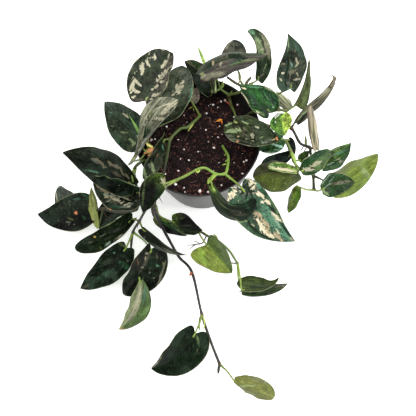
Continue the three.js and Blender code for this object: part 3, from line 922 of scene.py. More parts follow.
def patches_group() -> Tree:
    """Ragged patches that lie along the side veins, with small flecks between them.

    Soft noise, looked up by side vein and distance from the midrib and roughened with finer noise, makes a
    patch where it passes a limit that falls as the amount rises. Flecks are the peaks of a finer noise.

    Returns:
        The group: Lay, Vein and Amount in, Mask out.
    """
    board = Group("leaf_patches", {"Lay": "Vector", "Vein": "Vector", "Amount": "Float"}, ["Mask"])
    lay, vein, amount = board.given
    number, _, distance = board.split(vein)
    _, _, seed = board.split(lay)
    stretched = board.join(board.times(number, 0.95), board.math("DIVIDE", distance, 8.5), seed)
    broad = board.noise(stretched, 1.0, 2.5)
    ragged = board.noise(lay, 0.42, 2.0)
    total = board.plus(broad, board.times(board.less(ragged, 0.5), 0.42))
    limit = board.less(0.80, board.times(amount, 0.42))
    patch = board.step(total, limit, board.plus(limit, 0.045))
    peaks = board.noise(lay, 0.42, 0.5)
    fleck_limit = board.less(0.77, board.times(amount, 0.16))
    fleck = board.step(peaks, fleck_limit, board.plus(fleck_limit, 0.06))
    fleck = board.times(fleck, board.step(amount, 0.01, 0.08))
    return board.done(board.math("MAXIMUM", patch, board.times(fleck, 0.75)))


def vein_lines_group() -> Tree:
    """Thin lines where the vein number is whole, and along the midrib up to a millimetre from it.

    Returns:
        The group: Vein in, Side and Midrib out.
    """
    board = Group("leaf_vein_lines", {"Vein": "Vector"}, ["Side", "Midrib"])
    number, share, distance = board.split(board.given[0])
    side = board.less(1.0, board.step(board.math("PINGPONG", number, 0.5), 0.02, 0.12))
    side = board.times(side, board.less(1.0, board.step(share, 0.75, 0.97)))
    return board.done(side, board.less(1.0, board.step(distance, 0.35, 1.0)))


def grain_group() -> Tree:
    """The skin's own unevenness: fine cells, slow clouds, flecks along the side veins and lengthwise streaks.

    Returns:
        The group: Lay and Vein in, Cells, Cloud, Fleck and Streak out, each from 0 to 1, and Ragged, which
        sways about 0 and frays the rims of marks along the side veins.
    """
    outputs = ["Cells", "Cloud", "Fleck", "Streak", "Ragged"]
    board = Group("leaf_grain", {"Lay": "Vector", "Vein": "Vector"}, outputs)
    lay, vein = board.given
    number, _, distance = board.split(vein)
    _, _, seed = board.split(lay)
    cells = board.cells(lay, 2.4)
    fine = board.less(board.noise(lay, 0.5, 3.0), 0.5)
    cloud = board.step(board.math("MULTIPLY_ADD", fine, 0.9, board.noise(lay, 0.13, 3.0)), 0.34, 0.68)
    stretched = board.join(board.times(number, 2.4), board.math("DIVIDE", distance, 2.8), seed)
    frayed = board.noise(stretched, 1.0, 4.0)
    fleck = board.step(frayed, 0.52, 0.68)
    ragged = board.plus(board.less(frayed, 0.5), board.times(fine, 0.5))
    streak = board.step(board.noise(board.scale(lay, (0.03, 0.6, 1.0)), 1.0, 3.0), 0.38, 0.64)
    return board.done(cells, cloud, fleck, streak, ragged)


@dataclass(frozen=True)
class SharedPatterns:
    """The node groups that several finishes use."""

    patches: Tree
    lines: Tree
    grain: Tree

    @staticmethod
    def build() -> "SharedPatterns":
        """Makes the three groups."""
        return SharedPatterns(patches_group(), vein_lines_group(), grain_group())


class Paint(Board):
    """The board of a new material with one principled shader."""

    def __init__(self, name: str, roughness: float, specular: float) -> None:
        """Makes the material.

        Args:
            name: the finish's name.
            roughness: how blurred its gloss is.
            specular: how strong its gloss is.
        """
        self.material = bpy.data.materials.new(name)
        self.material.use_nodes = True
        super().__init__(self.material.node_tree)
        gloss = {"Roughness": roughness, "Specular IOR Level": specular}
        self.shader = self.add("ShaderNodeBsdfPrincipled", gloss)
        self.add("ShaderNodeOutputMaterial", {0: self.shader.outputs[0]}).is_active_output = True

    def done(self, base: Socket, height: Socket, depth: float, **more: Socket) -> Material:
        """Feeds the shader.

        Args:
            base: the colour.
            height: fine relief, from 0 to 1.
            depth: how deep the relief is, in millimetres.
            more: what feeds other inputs, by name.

        Returns:
            The material.
        """
        bump = self.add("ShaderNodeBump", {"Strength": 1.0, "Distance": depth * MM, "Height": height})
        self.feed(self.shader, {"Base Color": base, "Normal": bump.outputs[0], **more})
        return self.material


@dataclass(frozen=True)
class BladeSide:
    """One side of a leaf: clouded, flecked along the side veins, given painted sheen in soft patches,
    streaked, silvered in patches and marked.
    """

    name: str
    roughness: float
    specular: float
    furrow: float
    rib: float
    rib_share: float
    contrast: float = 1.0
    silver: Shade = (164, 164, 138)
    dull_silver: Shade = (92, 98, 78)
    # painted sheen: colour of the soft lighter patches that stand in for the satin reflection
    sheen: Shade = (62, 84, 66)
    relief: float = 0.05

    def material(self, shared: SharedPatterns) -> Material:
        """Builds the finish from the shared node groups.

        Args:
            shared: the groups.

        Returns:
            The material.
        """
        board = Paint(self.name, self.roughness, self.specular)
        lay, vein, tint = board.read("lay"), board.read("vein"), board.read("tint", "Color")
        silver, mottle, sheen = board.split(board.read("marks"))
        streaks = board.split(board.read("more"))[0]
        cells, cloud, fleck, streak, ragged = board.use(shared.grain, lay, vein)
        side, midrib = board.use(shared.lines, vein)

        low, span = 1 - 0.72 * self.contrast, 1.4 * self.contrast
        base = board.dim(tint, board.math("MULTIPLY_ADD", cloud, span, low))
        lift = {0: tint, 1: (2.4, 2.4, 2.1), 2: (0.028, 0.034, 0.022)}
        lighter = board.add("ShaderNodeVectorMath", lift, operation="MULTIPLY_ADD").outputs[0]
        base = board.wash(base, fleck, board.times(mottle, 0.7), lighter)
        # painted sheen: wide soft patches washed lighter, standing in for the satin reflection
        wide = board.step(board.noise(lay, 0.05, 1.0), 0.48, 0.62)
        base = board.wash(base, wide, board.times(sheen, 0.5), linear(self.sheen))
        base = board.wash(base, streak, streaks, board.dim(tint, 1.7))
        base = board.wash(base, board.less(1.0, streak), streaks, board.dim(tint, 0.35))
        base = board.wash(base, side, self.furrow, board.dim(tint, 0.5))
        base = board.wash(base, midrib, self.rib_share, board.dim(tint, self.rib))

        silvered = board.use(shared.patches, lay, vein, silver)[0]
        silver = board.blend(cloud, linear(self.dull_silver), linear(self.silver))
        base = board.wash(base, silvered, 0.85, silver)

        level = board.plus(board.read("patch", "Alpha"), board.times(ragged, 1.6))
        mark = board.step(level, 0.53, 0.60)
        worn = board.dim(board.read("patch", "Color"), board.math("MULTIPLY_ADD", ragged, 1.3, 0.78))
        base = board.wash(base, mark, 0.92, worn)
        matt = board.math("MAXIMUM", board.times(silvered, 0.1), board.times(mark, 0.45))
        rough = board.plus(board.math("MULTIPLY_ADD", cloud, 0.14, self.roughness - 0.05), matt)
        return board.done(base, cells, self.relief, Roughness=rough)


@dataclass(frozen=True)
class StemSkin:
    """The skin of stems and petioles: lengthwise fibres over the colour that runs along them."""

    roughness: float = 0.45
    specular: float = 0.3
    fibre: Point = (0.01, 0.012, 0.006)
    scar: Point = (0.25, 0.2, 0.11)
    relief: float = 0.12

    def material(self) -> Material:
        """Builds the finish.

        Returns:
            The material.
        """
        board = Paint("stem_skin", self.roughness, self.specular)
        lay = board.read("lay")
        fibres = board.noise(board.scale(lay, (0.12, 1.6, 1.6)), 1.0, 3.0)
        scars = board.noise(lay, 0.7, 2.0)
        base = board.wash(board.read("tint", "Color"), board.step(fibres, 0.42, 0.7), 0.5, self.fibre)
        base = board.wash(base, board.step(scars, 0.64, 0.74), 0.5, self.scar)
        rough = board.plus(self.roughness - 0.05, board.times(scars, 0.2))
        return board.done(base, fibres, self.relief, Roughness=rough)


@dataclass(frozen=True)
class Mix:
    """Loose potting mix: near-black crumbs with brown and reddish fibres among them, and painted shade in the
    gaps between the crumbs.
    """

    dark: Shade = (16, 9, 10)
    brown: Shade = (44, 27, 27)
    red: Shade = (104, 64, 54)
    crevice_shade: Point = (0.004, 0.002, 0.002)
    crumb_scale: float = 420.0
    cell_scale: float = 520.0
    relief: float = 0.6

    def material(self) -> Material:
        """Builds the finish.

        Returns:
            The material.
        """
        board = Paint("potting_mix", 0.95, 0.15)
        place = board.place()
        crumbs = board.noise(place, self.crumb_scale, 4.0)
        cells = board.cells(place, self.cell_scale)
        fibres = board.noise(board.scale(place, (1.0, 3.2, 1.0)), 260.0, 2.0)
        strands = board.noise(board.scale(place, (3.4, 1.0, 1.0)), 240.0, 2.0)
        base = board.blend(board.step(crumbs, 0.42, 0.66), linear(self.dark), linear(self.brown))
        reddish = board.math("MAXIMUM", board.step(fibres, 0.66, 0.74), board.step(strands, 0.67, 0.75))
        base = board.wash(base, reddish, 0.7, linear(self.red))
        # painted shade: near-black in the gaps between the crumbs
        base = board.blend(board.step(cells, 0.35, 0.75), base, self.crevice_shade)
        return board.done(base, crumbs, self.relief)


@dataclass(frozen=True)
class Grit:
    """Small loose bits on the soil, each with its own colour and a rough broken face whose pits are darkened
    as painted shade.
    """

    name: str
    bits: float = 900.0
    pit_shade: Point = (0.05, 0.035, 0.025)
    relief: float = 0.2

    def material(self) -> Material:
        """Builds the finish.

        Returns:
            The material.
        """
        board = Paint(self.name, 0.85, 0.2)
        pits = board.noise(board.place(), self.bits, 3.0)
        # painted shade: darker where the relief is low, in the pits
        base = board.wash(board.read("tint", "Color"), board.step(pits, 0.55, 0.35), 0.4, self.pit_shade)
        return board.done(base, pits, self.relief)


@dataclass(frozen=True)
class MouldedPlastic:
    """Moulded nursery-pot plastic with fine scuffs and a little dust."""

    name: str
    body: Shade
    dust: Shade
    roughness: float = 0.42
    foot: Point = (0.05, 0.045, 0.04)
    foot_height: float = 0.06
    relief: float = 0.03

    def material(self) -> Material:
        """Builds the finish.

        Returns:
            The material.
        """
        board = Paint(self.name, self.roughness, 0.4)
        place = board.place()
        cloud = board.noise(place, 22.0, 4.0)
        scuffs = board.noise(board.scale(place, (1.0, 1.0, 9.0)), 120.0, 3.0)
        low = board.less(1.0, board.step(board.split(place)[2], 0.0, self.foot_height))
        dusty = board.times(board.step(cloud, 0.4, 0.75), 0.35)
        base = board.wash(board.blend(dusty, linear(self.body), linear(self.dust)), low, 0.25, self.foot)
        rough = board.plus(self.roughness - 0.08, board.times(scuffs, 0.28))
        return board.done(base, board.noise(place, 1500.0, 2.0), self.relief, Roughness=rough)


def pot_radius(z: Array | float) -> Array | float:
    """Outer radius of the pot's wall: it widens evenly from base to rim."""
    return BASE_RADIUS + (RIM_RADIUS - BASE_RADIUS) * z / POT_HEIGHT


def weld(piece: Piece) -> None:
    """Merges coincident points.

    Args:
        piece: the piece that has them.
    """
    shape = bmesh.new()
    shape.from_mesh(piece.data)
    bmesh.ops.remove_doubles(shape, verts=shape.verts, dist=0.01 * MM)
    shape.to_mesh(piece.data)
    shape.free()


@dataclass
class Pot:
    """The tapered nursery pot: pale outside but coloured dark grey there as painted shade, black inside, with
    drain holes in its floor.
    """

    sides: int = 160
    lifts: int = 26
    rim_steps: int = 9
    foot_radius: float = 50.0
    foot: tuple[Pair, ...] = ((54.4, 0.0), (54.8, 0.15))
    wall_start: float = 0.5
    inside_row: int = 30
    floor_radius: float = 50.4
    hub_radius: float = 12.0
    sector_points: int = 16
    skin: float = 0.05
    # painted shade: the pale outside is given a dark grey body, as the wall that shows lies in the plant's
    # shadow
    outside: MouldedPlastic = MouldedPlastic("pot_outside", (40, 42, 41), (76, 64, 54))
    inside: MouldedPlastic = MouldedPlastic("pot_inside", (22, 20, 20), (60, 52, 46), 0.5)

    def profile(self) -> tuple[Array, Array]:
        """The wall's closed section: up the outside, over a rim that is a half circle, and down the inside.

        Returns:
            Radius and height of each point.
        """
        lift = np.linspace(0.0, 1.0, self.lifts)
        top = POT_HEIGHT - WALL / 2
        outer = self.wall_start + (top - self.wall_start) * lift
        rim = WALL / 2 * polar(1.0, np.linspace(0.0, math.pi, self.rim_steps)[1:-1])
        inner = top + (FLOOR - top) * lift
        section = np.concatenate([
            [(self.foot_radius, 0.0), *self.foot], np.column_stack([pot_radius(outer), outer]),
            rim + [pot_radius(top) - WALL / 2, top], np.column_stack([pot_radius(inner) - WALL, inner]),
            [(self.foot_radius, FLOOR)],
        ])
        return section[:, 0], section[:, 1]

    def wall(self) -> Surface:
        """The section carried round the axis: (r cos a, r sin a, z).

        Returns:
            The wall's closed surface, its inside faces finished apart.
        """
        radius, height = self.profile()
        level = np.repeat(height[:, None, None], self.sides, axis=1)
        points = np.concatenate([polar(radius[:, None], turns(self.sides)), level], axis=-1)
        closed = len(points) + 1
        quads = grid_quads(closed, self.sides, True)[:, ::-1] % (len(points) * self.sides)
        row = np.repeat(np.arange(closed - 1), self.sides)
        return Surface(points.reshape(-1, 3), quads, finish=(row >= self.inside_row).astype(int))

    def floor(self) -> Surface:
        """The floor's upper sheet: six sectors, each with a round hole, about a plain hub.

        In a sector, each point of its outline is joined to the point of the hole's edge that lies in the same
        direction from the hole's centre.

        Returns:
            The sheet, with its seams not yet merged.
        """
        count, half = self.sector_points, math.pi / DRAIN_HOLES
        t, one = np.arange(count) / count, np.ones(count)
        inner, outer = self.hub_radius, self.floor_radius
        span = outer - inner
        radius = np.concatenate([outer * one, outer - span * t, inner * one, inner + span * t])
        angle = half * np.concatenate([2 * t - 1, one, 1 - 2 * t, -one])
        outline = polar(radius, angle)
        centre = np.array([DRAIN_CIRCLE, 0.0])
        edge = centre + unit(outline - centre) * DRAIN_RADIUS
        flat = np.stack([edge, edge + (outline - edge) * 0.25, outline])
        level = FLOOR - self.skin
        parts = []
        for turn in 2 * half * np.arange(DRAIN_HOLES):
            spin = np.array([[math.cos(turn), math.sin(turn)], [-math.sin(turn), math.cos(turn)]])
            sector = (flat @ spin).reshape(-1, 2)
            points = np.column_stack([sector, np.full(len(sector), level)])
            parts.append(Surface(points, grid_quads(len(flat), len(outline), True), finish=1))
        hub = np.concatenate([polar(inner, turns(count * DRAIN_HOLES) + half), [[0.0, 0.0]]])
        j = np.arange(len(hub) - 1)
        fan = np.stack([np.full(len(j), len(j)), j, (j + 1) % len(j)], axis=-1)
        points = np.column_stack([hub, np.full(len(hub), level)])
        parts.append(Surface(points, np.empty((0, 4), int), fan, 1))
        return Surface.join(parts)

    def build(self) -> None:
        """Makes the wall and the floor in place of the solid pot."""
        finishes = [self.outside.material(), self.inside.material()]
        wall = self.wall().make("pot_wall", finishes)
        floor = self.floor().make("pot_floor", finishes)
        weld(floor)
        thick = floor.modifiers.new("thickness", "SOLIDIFY")
        thick.thickness = (FLOOR - 2 * self.skin) * MM
        thick.offset = -1.0
        settle([wall, floor], "pot")


@dataclass
class Soil:
    """The potting mix: a crumbly surface, with perlite, bark, fibres and dead scraps lying on it."""

    seed: int = 11
    rings: int = 118
    sectors: int = 300
    perlite_count: int = 46
    chip_count: int = 230
    fibre_count: int = 300
    fibre_stations: int = 7
    lump_grid: tuple[int, int] = (6, 9)
    perlite_seen: tuple[Point, ...] = (
        (-33.9, -49.9, 1.5), (-24.1, -55.2, 1.3), (-5.6, -61.5, 1.9), (4.6, -64.1, 1.9), (21.3, -57.4, 1.6),
        (55.0, -29.4, 1.6), (51.7, -30.7, 1.2), (48.4, -45.7, 1.4), (22.7, 47.5, 1.5), (13.1, 37.5, 1.4),
        (-19.3, -6.4, 1.3), (-2.6, -12.3, 1.2), (17.4, -9.4, 1.3), (10.1, 15.6, 1.2), (-14.6, -21.3, 1.3),
        (32.7, 51.3, 1.4), (37.9, 52.7, 1.5), (42.3, 47.5, 1.3), (52.2, 50.4, 1.3), (52.9, 44.9, 1.2),
        (-58.5, 10.7, 1.8), (-29.0, -33.1, 1.4), (-45.4, -35.1, 1.2),
    )
    perlite_shades: tuple[Shade, Shade] = ((236, 214, 206), (255, 252, 248))
    bark_shades: tuple[Shade, Shade] = ((24, 13, 13), (100, 58, 46))
    fibre_shades: tuple[Shade, Shade] = ((32, 18, 18), (142, 96, 84))
    scrap_places: tuple[Pair, ...] = ((28, 25), (29, 24), (-6, 47), (-3, 44), (-62, 4), (-64, -2), (-61, -1))
    scrap_lengths: tuple[float, ...] = (8, 7, 6, 5, 6, 7, 6)
    scrap_widths: tuple[float, ...] = (1.9, 1.4, 0.7, 0.6, 0.8, 0.9, 0.8)
    scrap_shades: tuple[Shade, ...] = (
        (214, 138, 50), (196, 112, 44), (168, 170, 70), (150, 158, 66), (178, 180, 84), (176, 132, 92),
        (150, 104, 70),
    )

    def radius(self, z: float) -> float:
        """Radius of the mix at height z, just inside the pot's wall."""
        return float(pot_radius(z)) - WALL - SOIL_GAP

    def crumbs(self, x: Array, y: Array, size: float, seed: int) -> Array:
        """Rounded crumbs: the highest of the half balls that stand at one scattered point in each cell.

        Args:
            x: places across.
            y: places along.
            size: side of a cell.
            seed: picks another scatter.

        Returns:
            Heights from 0 to about 0.6 of the size.
        """
        i, j = np.floor(x / size), np.floor(y / size)
        top = np.zeros_like(x)
        for a, b in ((i + di, j + dj) for di in (-1, 0, 1) for dj in (-1, 0, 1)):
            cx = (a + 0.15 + 0.7 * scattered(a, b, seed)) * size
            cy = (b + 0.15 + 0.7 * scattered(a, b, seed + 1)) * size
            ball = size * (0.35 + 0.3 * scattered(a, b, seed + 2))
            top = np.maximum(top, np.sqrt(np.maximum(ball**2 - (x - cx) ** 2 - (y - cy) ** 2, 0)))
        return top

    def height(self, x: Array, y: Array) -> Array:
        """Height of the surface: the solid's three crossing ripples, with crumbs of two sizes on them.

        Args:
            x: places across.
            y: places along.

        Returns:
            Heights in millimetres. The relief fades out at the wall.
        """
        fade = np.clip(1 - (np.hypot(x, y) / self.radius(SOIL_LEVEL)) ** 4, 0, 1)
        clods = (
            np.sin(0.21 * x + 0.4) * np.cos(0.19 * y) + 0.6 * np.sin(0.33 * (x + y))
            + 0.4 * np.cos(0.47 * (x - y) + 1)
        )
        fine = 0.55 * self.crumbs(x, y, 5.2, 5) + 0.55 * self.crumbs(x, y, 2.6, 9)
        return SOIL_LEVEL + CLOD_HEIGHT * clods * fade + fine * np.sqrt(fade) - 0.8

    def surface(self) -> Surface:
        """The mix as rings of points from the middle to the wall, then down the wall to the floor.

        Returns:
            The closed surface, with a pole at the middle of its top and of its underside.
        """
        low = FLOOR + SOIL_GAP
        down = np.array([90.0, 50.0, low, low])
        reach = np.array([self.radius(90), self.radius(50), self.radius(low), 0.5 * self.radius(low)])
        r = np.concatenate([self.radius(SOIL_LEVEL) * np.arange(1, self.rings + 1) / self.rings, reach])
        flat = polar(r[:, None], turns(self.sectors))
        z = self.height(flat[..., 0], flat[..., 1])
        z[-len(down):] = down[:, None]
        rings = np.concatenate([flat, z[..., None]], axis=-1).reshape(-1, 3)
        centre = float(self.height(np.zeros(1), np.zeros(1))[0])
        points = np.concatenate([rings, [[0, 0, centre], [0, 0, low]]])
        return Surface(points, *capped(len(r), self.sectors, False))

    def scatter(self, count: int, rng: Chance) -> Array:
        """Picks (x, y) spread evenly over the mix, at the square root of an even share of its radius."""
        r = (self.radius(SOIL_LEVEL) - 2.5) * np.sqrt(rng.random(count))
        return polar(r, 2 * math.pi * rng.random(count))

    def pebbles(self, places: Array, radii: Array, tints: Array, rng: Chance) -> Surface:
        """Broken lumps: balls whose points are moved in or out by up to a quarter, turned about the vertical.

        Args:
            places: (x, y) of each.
            radii: its three half sizes.
            tints: its linear colour.
            rng: the seeded source of chance.

        Returns:
            One surface with all of them.
        """
        rows, columns = self.lump_grid
        tilt = math.pi * (np.arange(rows) + 0.7) / (rows + 0.4)
        level = np.repeat(np.cos(tilt)[:, None, None], columns, axis=1)
        ball = np.concatenate([polar(np.sin(tilt)[:, None], turns(columns)), level], axis=-1).reshape(-1, 3)
        ball = np.concatenate([ball, [[0, 0, 1], [0, 0, -1]]])
        count, size = len(places), len(ball)
        lumps = ball[None] * radii[:, None] * (1 + 0.25 * (2 * rng.random((count, size, 1)) - 1))
        spin = 2 * math.pi * rng.random(count)[:, None]
        x = lumps[..., 0] * np.cos(spin) - lumps[..., 1] * np.sin(spin)
        y = lumps[..., 0] * np.sin(spin) + lumps[..., 1] * np.cos(spin)
        z = lumps[..., 2] + (self.height(places[:, 0], places[:, 1]) + radii[:, 2] * 0.35)[:, None]
        points = np.stack([x + places[:, :1], y + places[:, 1:], z], axis=-1).reshape(-1, 3)
        quads, fans = (copies(faces, size, count) for faces in capped(rows, columns, False))
        return Surface(points, quads, fans, 0, {"tint": opaque(np.repeat(tints, size, axis=0))})

    def slivers(self, places: Array, lengths: Array, widths: Array, tints: Array, rng: Chance) -> Surface:
        """Thin bent fibres that lie on the mix: square bars, thinned towards both ends, that bow aside.

        Args:
            places: (x, y) of each one's middle.
            lengths: its length.
            widths: its greatest half width.
            tints: its linear colour.
            rng: the seeded source of chance.

        Returns:
            One surface with all of them.
        """
        stations, count = self.fibre_stations, len(places)
        s = np.linspace(-1, 1, stations)
        ahead = polar(1.0, 2 * math.pi * rng.random(count))
        aside = np.stack([-ahead[:, 1], ahead[:, 0]], axis=-1)
        bow = lengths * (0.5 * rng.random(count) - 0.25)
        flat = (
            places[:, None] + ahead[:, None] * (s[None, :, None] * lengths[:, None, None] / 2)
            + aside[:, None] * ((1 - s**2)[None, :, None] * bow[:, None, None])
        )
        lift = 0.35 + 0.5 * rng.random(count)[:, None] * (1 + s[None]) + widths[:, None]
        z = np.minimum(self.height(flat[..., 0], flat[..., 1]) + lift, SOIL_LEVEL + 7)
        corner = polar(1.0, math.pi / 4 + turns(4))
        thin = (widths[:, None] * np.cos(0.47 * math.pi * s)[None] ** 0.6)[..., None]
        beside = flat[..., None, :] + aside[:, None, None] * (thin * corner[:, 0])[..., None]
        ring = np.concatenate([beside, (z[..., None] + thin * corner[:, 1])[..., None]], axis=-1)
        size = stations * 4
        caps = np.array([[3, 2, 1, 0], [size - 4, size - 3, size - 2, size - 1]])
        block = np.concatenate([grid_quads(stations, 4, True)[:, ::-1], caps])
        tint = opaque(np.repeat(tints, size, axis=0))
        return Surface(ring.reshape(-1, 3), copies(block, size, count), fields={"tint": tint})

    def between(self, ends: tuple[Shade, Shade], count: int, rng: Chance) -> Array:
        """Picks colours on the line from one shade to another."""
        share = rng.random((count, 1))
        return linear(ends[0]) * (1 - share) + linear(ends[1]) * share

    def build(self) -> None:
        """Makes the mix in place of its solid, and the loose bits on it."""
        rng = np.random.default_rng(self.seed)
        pieces = [self.surface().make("potting_mix", [Mix().material()])]

        seen = np.array(self.perlite_seen)
        spread = self.scatter(self.perlite_count, rng)
        places = np.concatenate([seen[:, :2], spread])
        size = np.concatenate([seen[:, 2], 0.4 + 0.9 * rng.random(len(spread)) ** 2])
        radii = size[:, None] * (0.6 + 0.7 * rng.random((len(size), 3)))
        tints = self.between(self.perlite_shades, len(size), rng)
        grains = self.pebbles(places, radii, tints, rng)
        pieces.append(grains.make("perlite", [Grit("perlite_grain").material()]))

        chips = self.scatter(self.chip_count, rng)
        radii = (0.5 + 1.1 * rng.random((len(chips), 1))) * np.array([1.3, 0.8, 0.5])
        tints = self.between(self.bark_shades, len(chips), rng)
        bark = self.pebbles(chips, radii, tints, rng)
        pieces.append(bark.make("bark_chips", [Grit("bark").material()]))

        threads = self.scatter(self.fibre_count, rng)
        lengths = 3 + 6 * rng.random(len(threads))
        widths = 0.1 + 0.16 * rng.random(len(threads))
        tints = self.between(self.fibre_shades, len(threads), rng)
        fibres = self.slivers(threads, lengths, widths, tints, rng)
        pieces.append(fibres.make("soil_fibres", [Grit("fibre").material()]))

        places, lengths, widths = map(np.array, (self.scrap_places, self.scrap_lengths, self.scrap_widths))
        scraps = self.slivers(places, lengths, widths, linear(self.scrap_shades), rng)
        pieces.append(scraps.make("dead_scraps", [Grit("dry_scrap", 500.0).material()]))
        settle(pieces, "soil")


def posed(right: Array, up: Array, back: Array, place: Array | Point) -> Matrix:
    """The matrix that stands a camera or a light at a place, with its back turned away from what it faces."""
    return Matrix(np.vstack([np.column_stack([right, up, back, place]), [0, 0, 0, 1]]).tolist())


@dataclass(frozen=True)
class SquareLight:
    """A soft square light that faces the plant: its place and side in metres, its power in watts."""

    name: str
    place: Point
    size: float
    power: float
    aim: Point = (0.0, -0.05, 0.05)

    def build(self) -> None:
        """Adds the light, turned so that it faces its aim."""
        data = bpy.data.lights.new(self.name, "AREA")
        data.energy, data.size, data.shape = self.power, self.size, "SQUARE"
        lamp = bpy.data.objects.new(self.name, data)
        back = unit(np.subtract(self.place, self.aim))
        right = unit(np.cross([0.0, 1.0, 0.1], back))
        lamp.matrix_world = posed(right, np.cross(back, right), back, self.place)
        bpy.context.scene.collection.objects.link(lamp)


@dataclass(frozen=True)
class Studio:
    """Pale floor, soft lights, surroundings and the camera."""

    elevation: float = 74.7
    roll: float = -6.3
    distance: float = 1000.0
    target: Point = (2.0, -55.0, 0.0)
    focal: float = 742.0
    frame: float = 416.0
    sensor: float = 36.0
    floor_reach: float = 6000.0
    floor_drop: float = 0.3
    floor_glow: float = 0.42
    sky: float = 0.5
    lights: tuple[SquareLight, ...] = (
        SquareLight("window_light", (1.5, -0.1, 1.25), 1.1, 46.0),
        SquareLight("ceiling_light", (-0.3, 0.2, 2.2), 2.2, 70.0),
    )

    def camera(self) -> None:
        """Sets the camera: it looks down at the target from the front, turned a little about its own axis."""
        e, r = math.radians(self.elevation), math.radians(self.roll)
        back = np.array([0.0, -math.cos(e), math.sin(e)])
        level, rise = np.array([1.0, 0.0, 0.0]), np.array([0.0, math.sin(e), math.cos(e)])
        data = bpy.data.cameras.new("camera")
        data.sensor_width = self.sensor
        data.lens = self.sensor * self.focal / self.frame
        data.clip_start, data.clip_end = 0.05, 50.0
        camera = bpy.data.objects.new("camera", data)
        place = (np.array(self.target) + back * self.distance) * MM
        right = level * math.cos(r) + rise * math.sin(r)
        camera.matrix_world = posed(right, rise * math.cos(r) - level * math.sin(r), back, place)
        bpy.context.scene.collection.objects.link(camera)
        bpy.context.scene.camera = camera

    def floor(self) -> None:
        """Lays a plain pale floor just under the pot."""
        corners = np.array([[-1, -1], [1, -1], [1, 1], [-1, 1]]) * self.floor_reach
        board = Paint("studio_floor", 0.8, 0.1)
        cloud = board.noise(board.place(), 2.0, 2.0)
        base = board.blend(board.times(cloud, 0.1), (0.93, 0.93, 0.93), (0.9, 0.9, 0.905))
        glow = {"Emission Color": (1.0, 1.0, 1.0, 1.0), "Emission Strength": self.floor_glow}
        board.feed(board.shader, {"Base Color": base, **glow})
        sheet = Surface(np.column_stack([corners, np.full(4, -self.floor_drop)]), np.array([[0, 1, 2, 3]]))
        sheet.make("studio_floor", [board.material])

    def build(self) -> None:
        """Sets up floor, lights, surroundings, tone and camera."""
        self.floor()
        for light in self.lights:
            light.build()
        world = bpy.data.worlds.new("studio")
        world.use_nodes = True
        background = world.node_tree.nodes["Background"]
        background.inputs[0].default_value = (1.0, 1.0, 1.0, 1.0)
        background.inputs[1].default_value = self.sky
        bpy.context.scene.world = world
        bpy.context.scene.view_settings.view_transform = "Standard"
        self.camera()
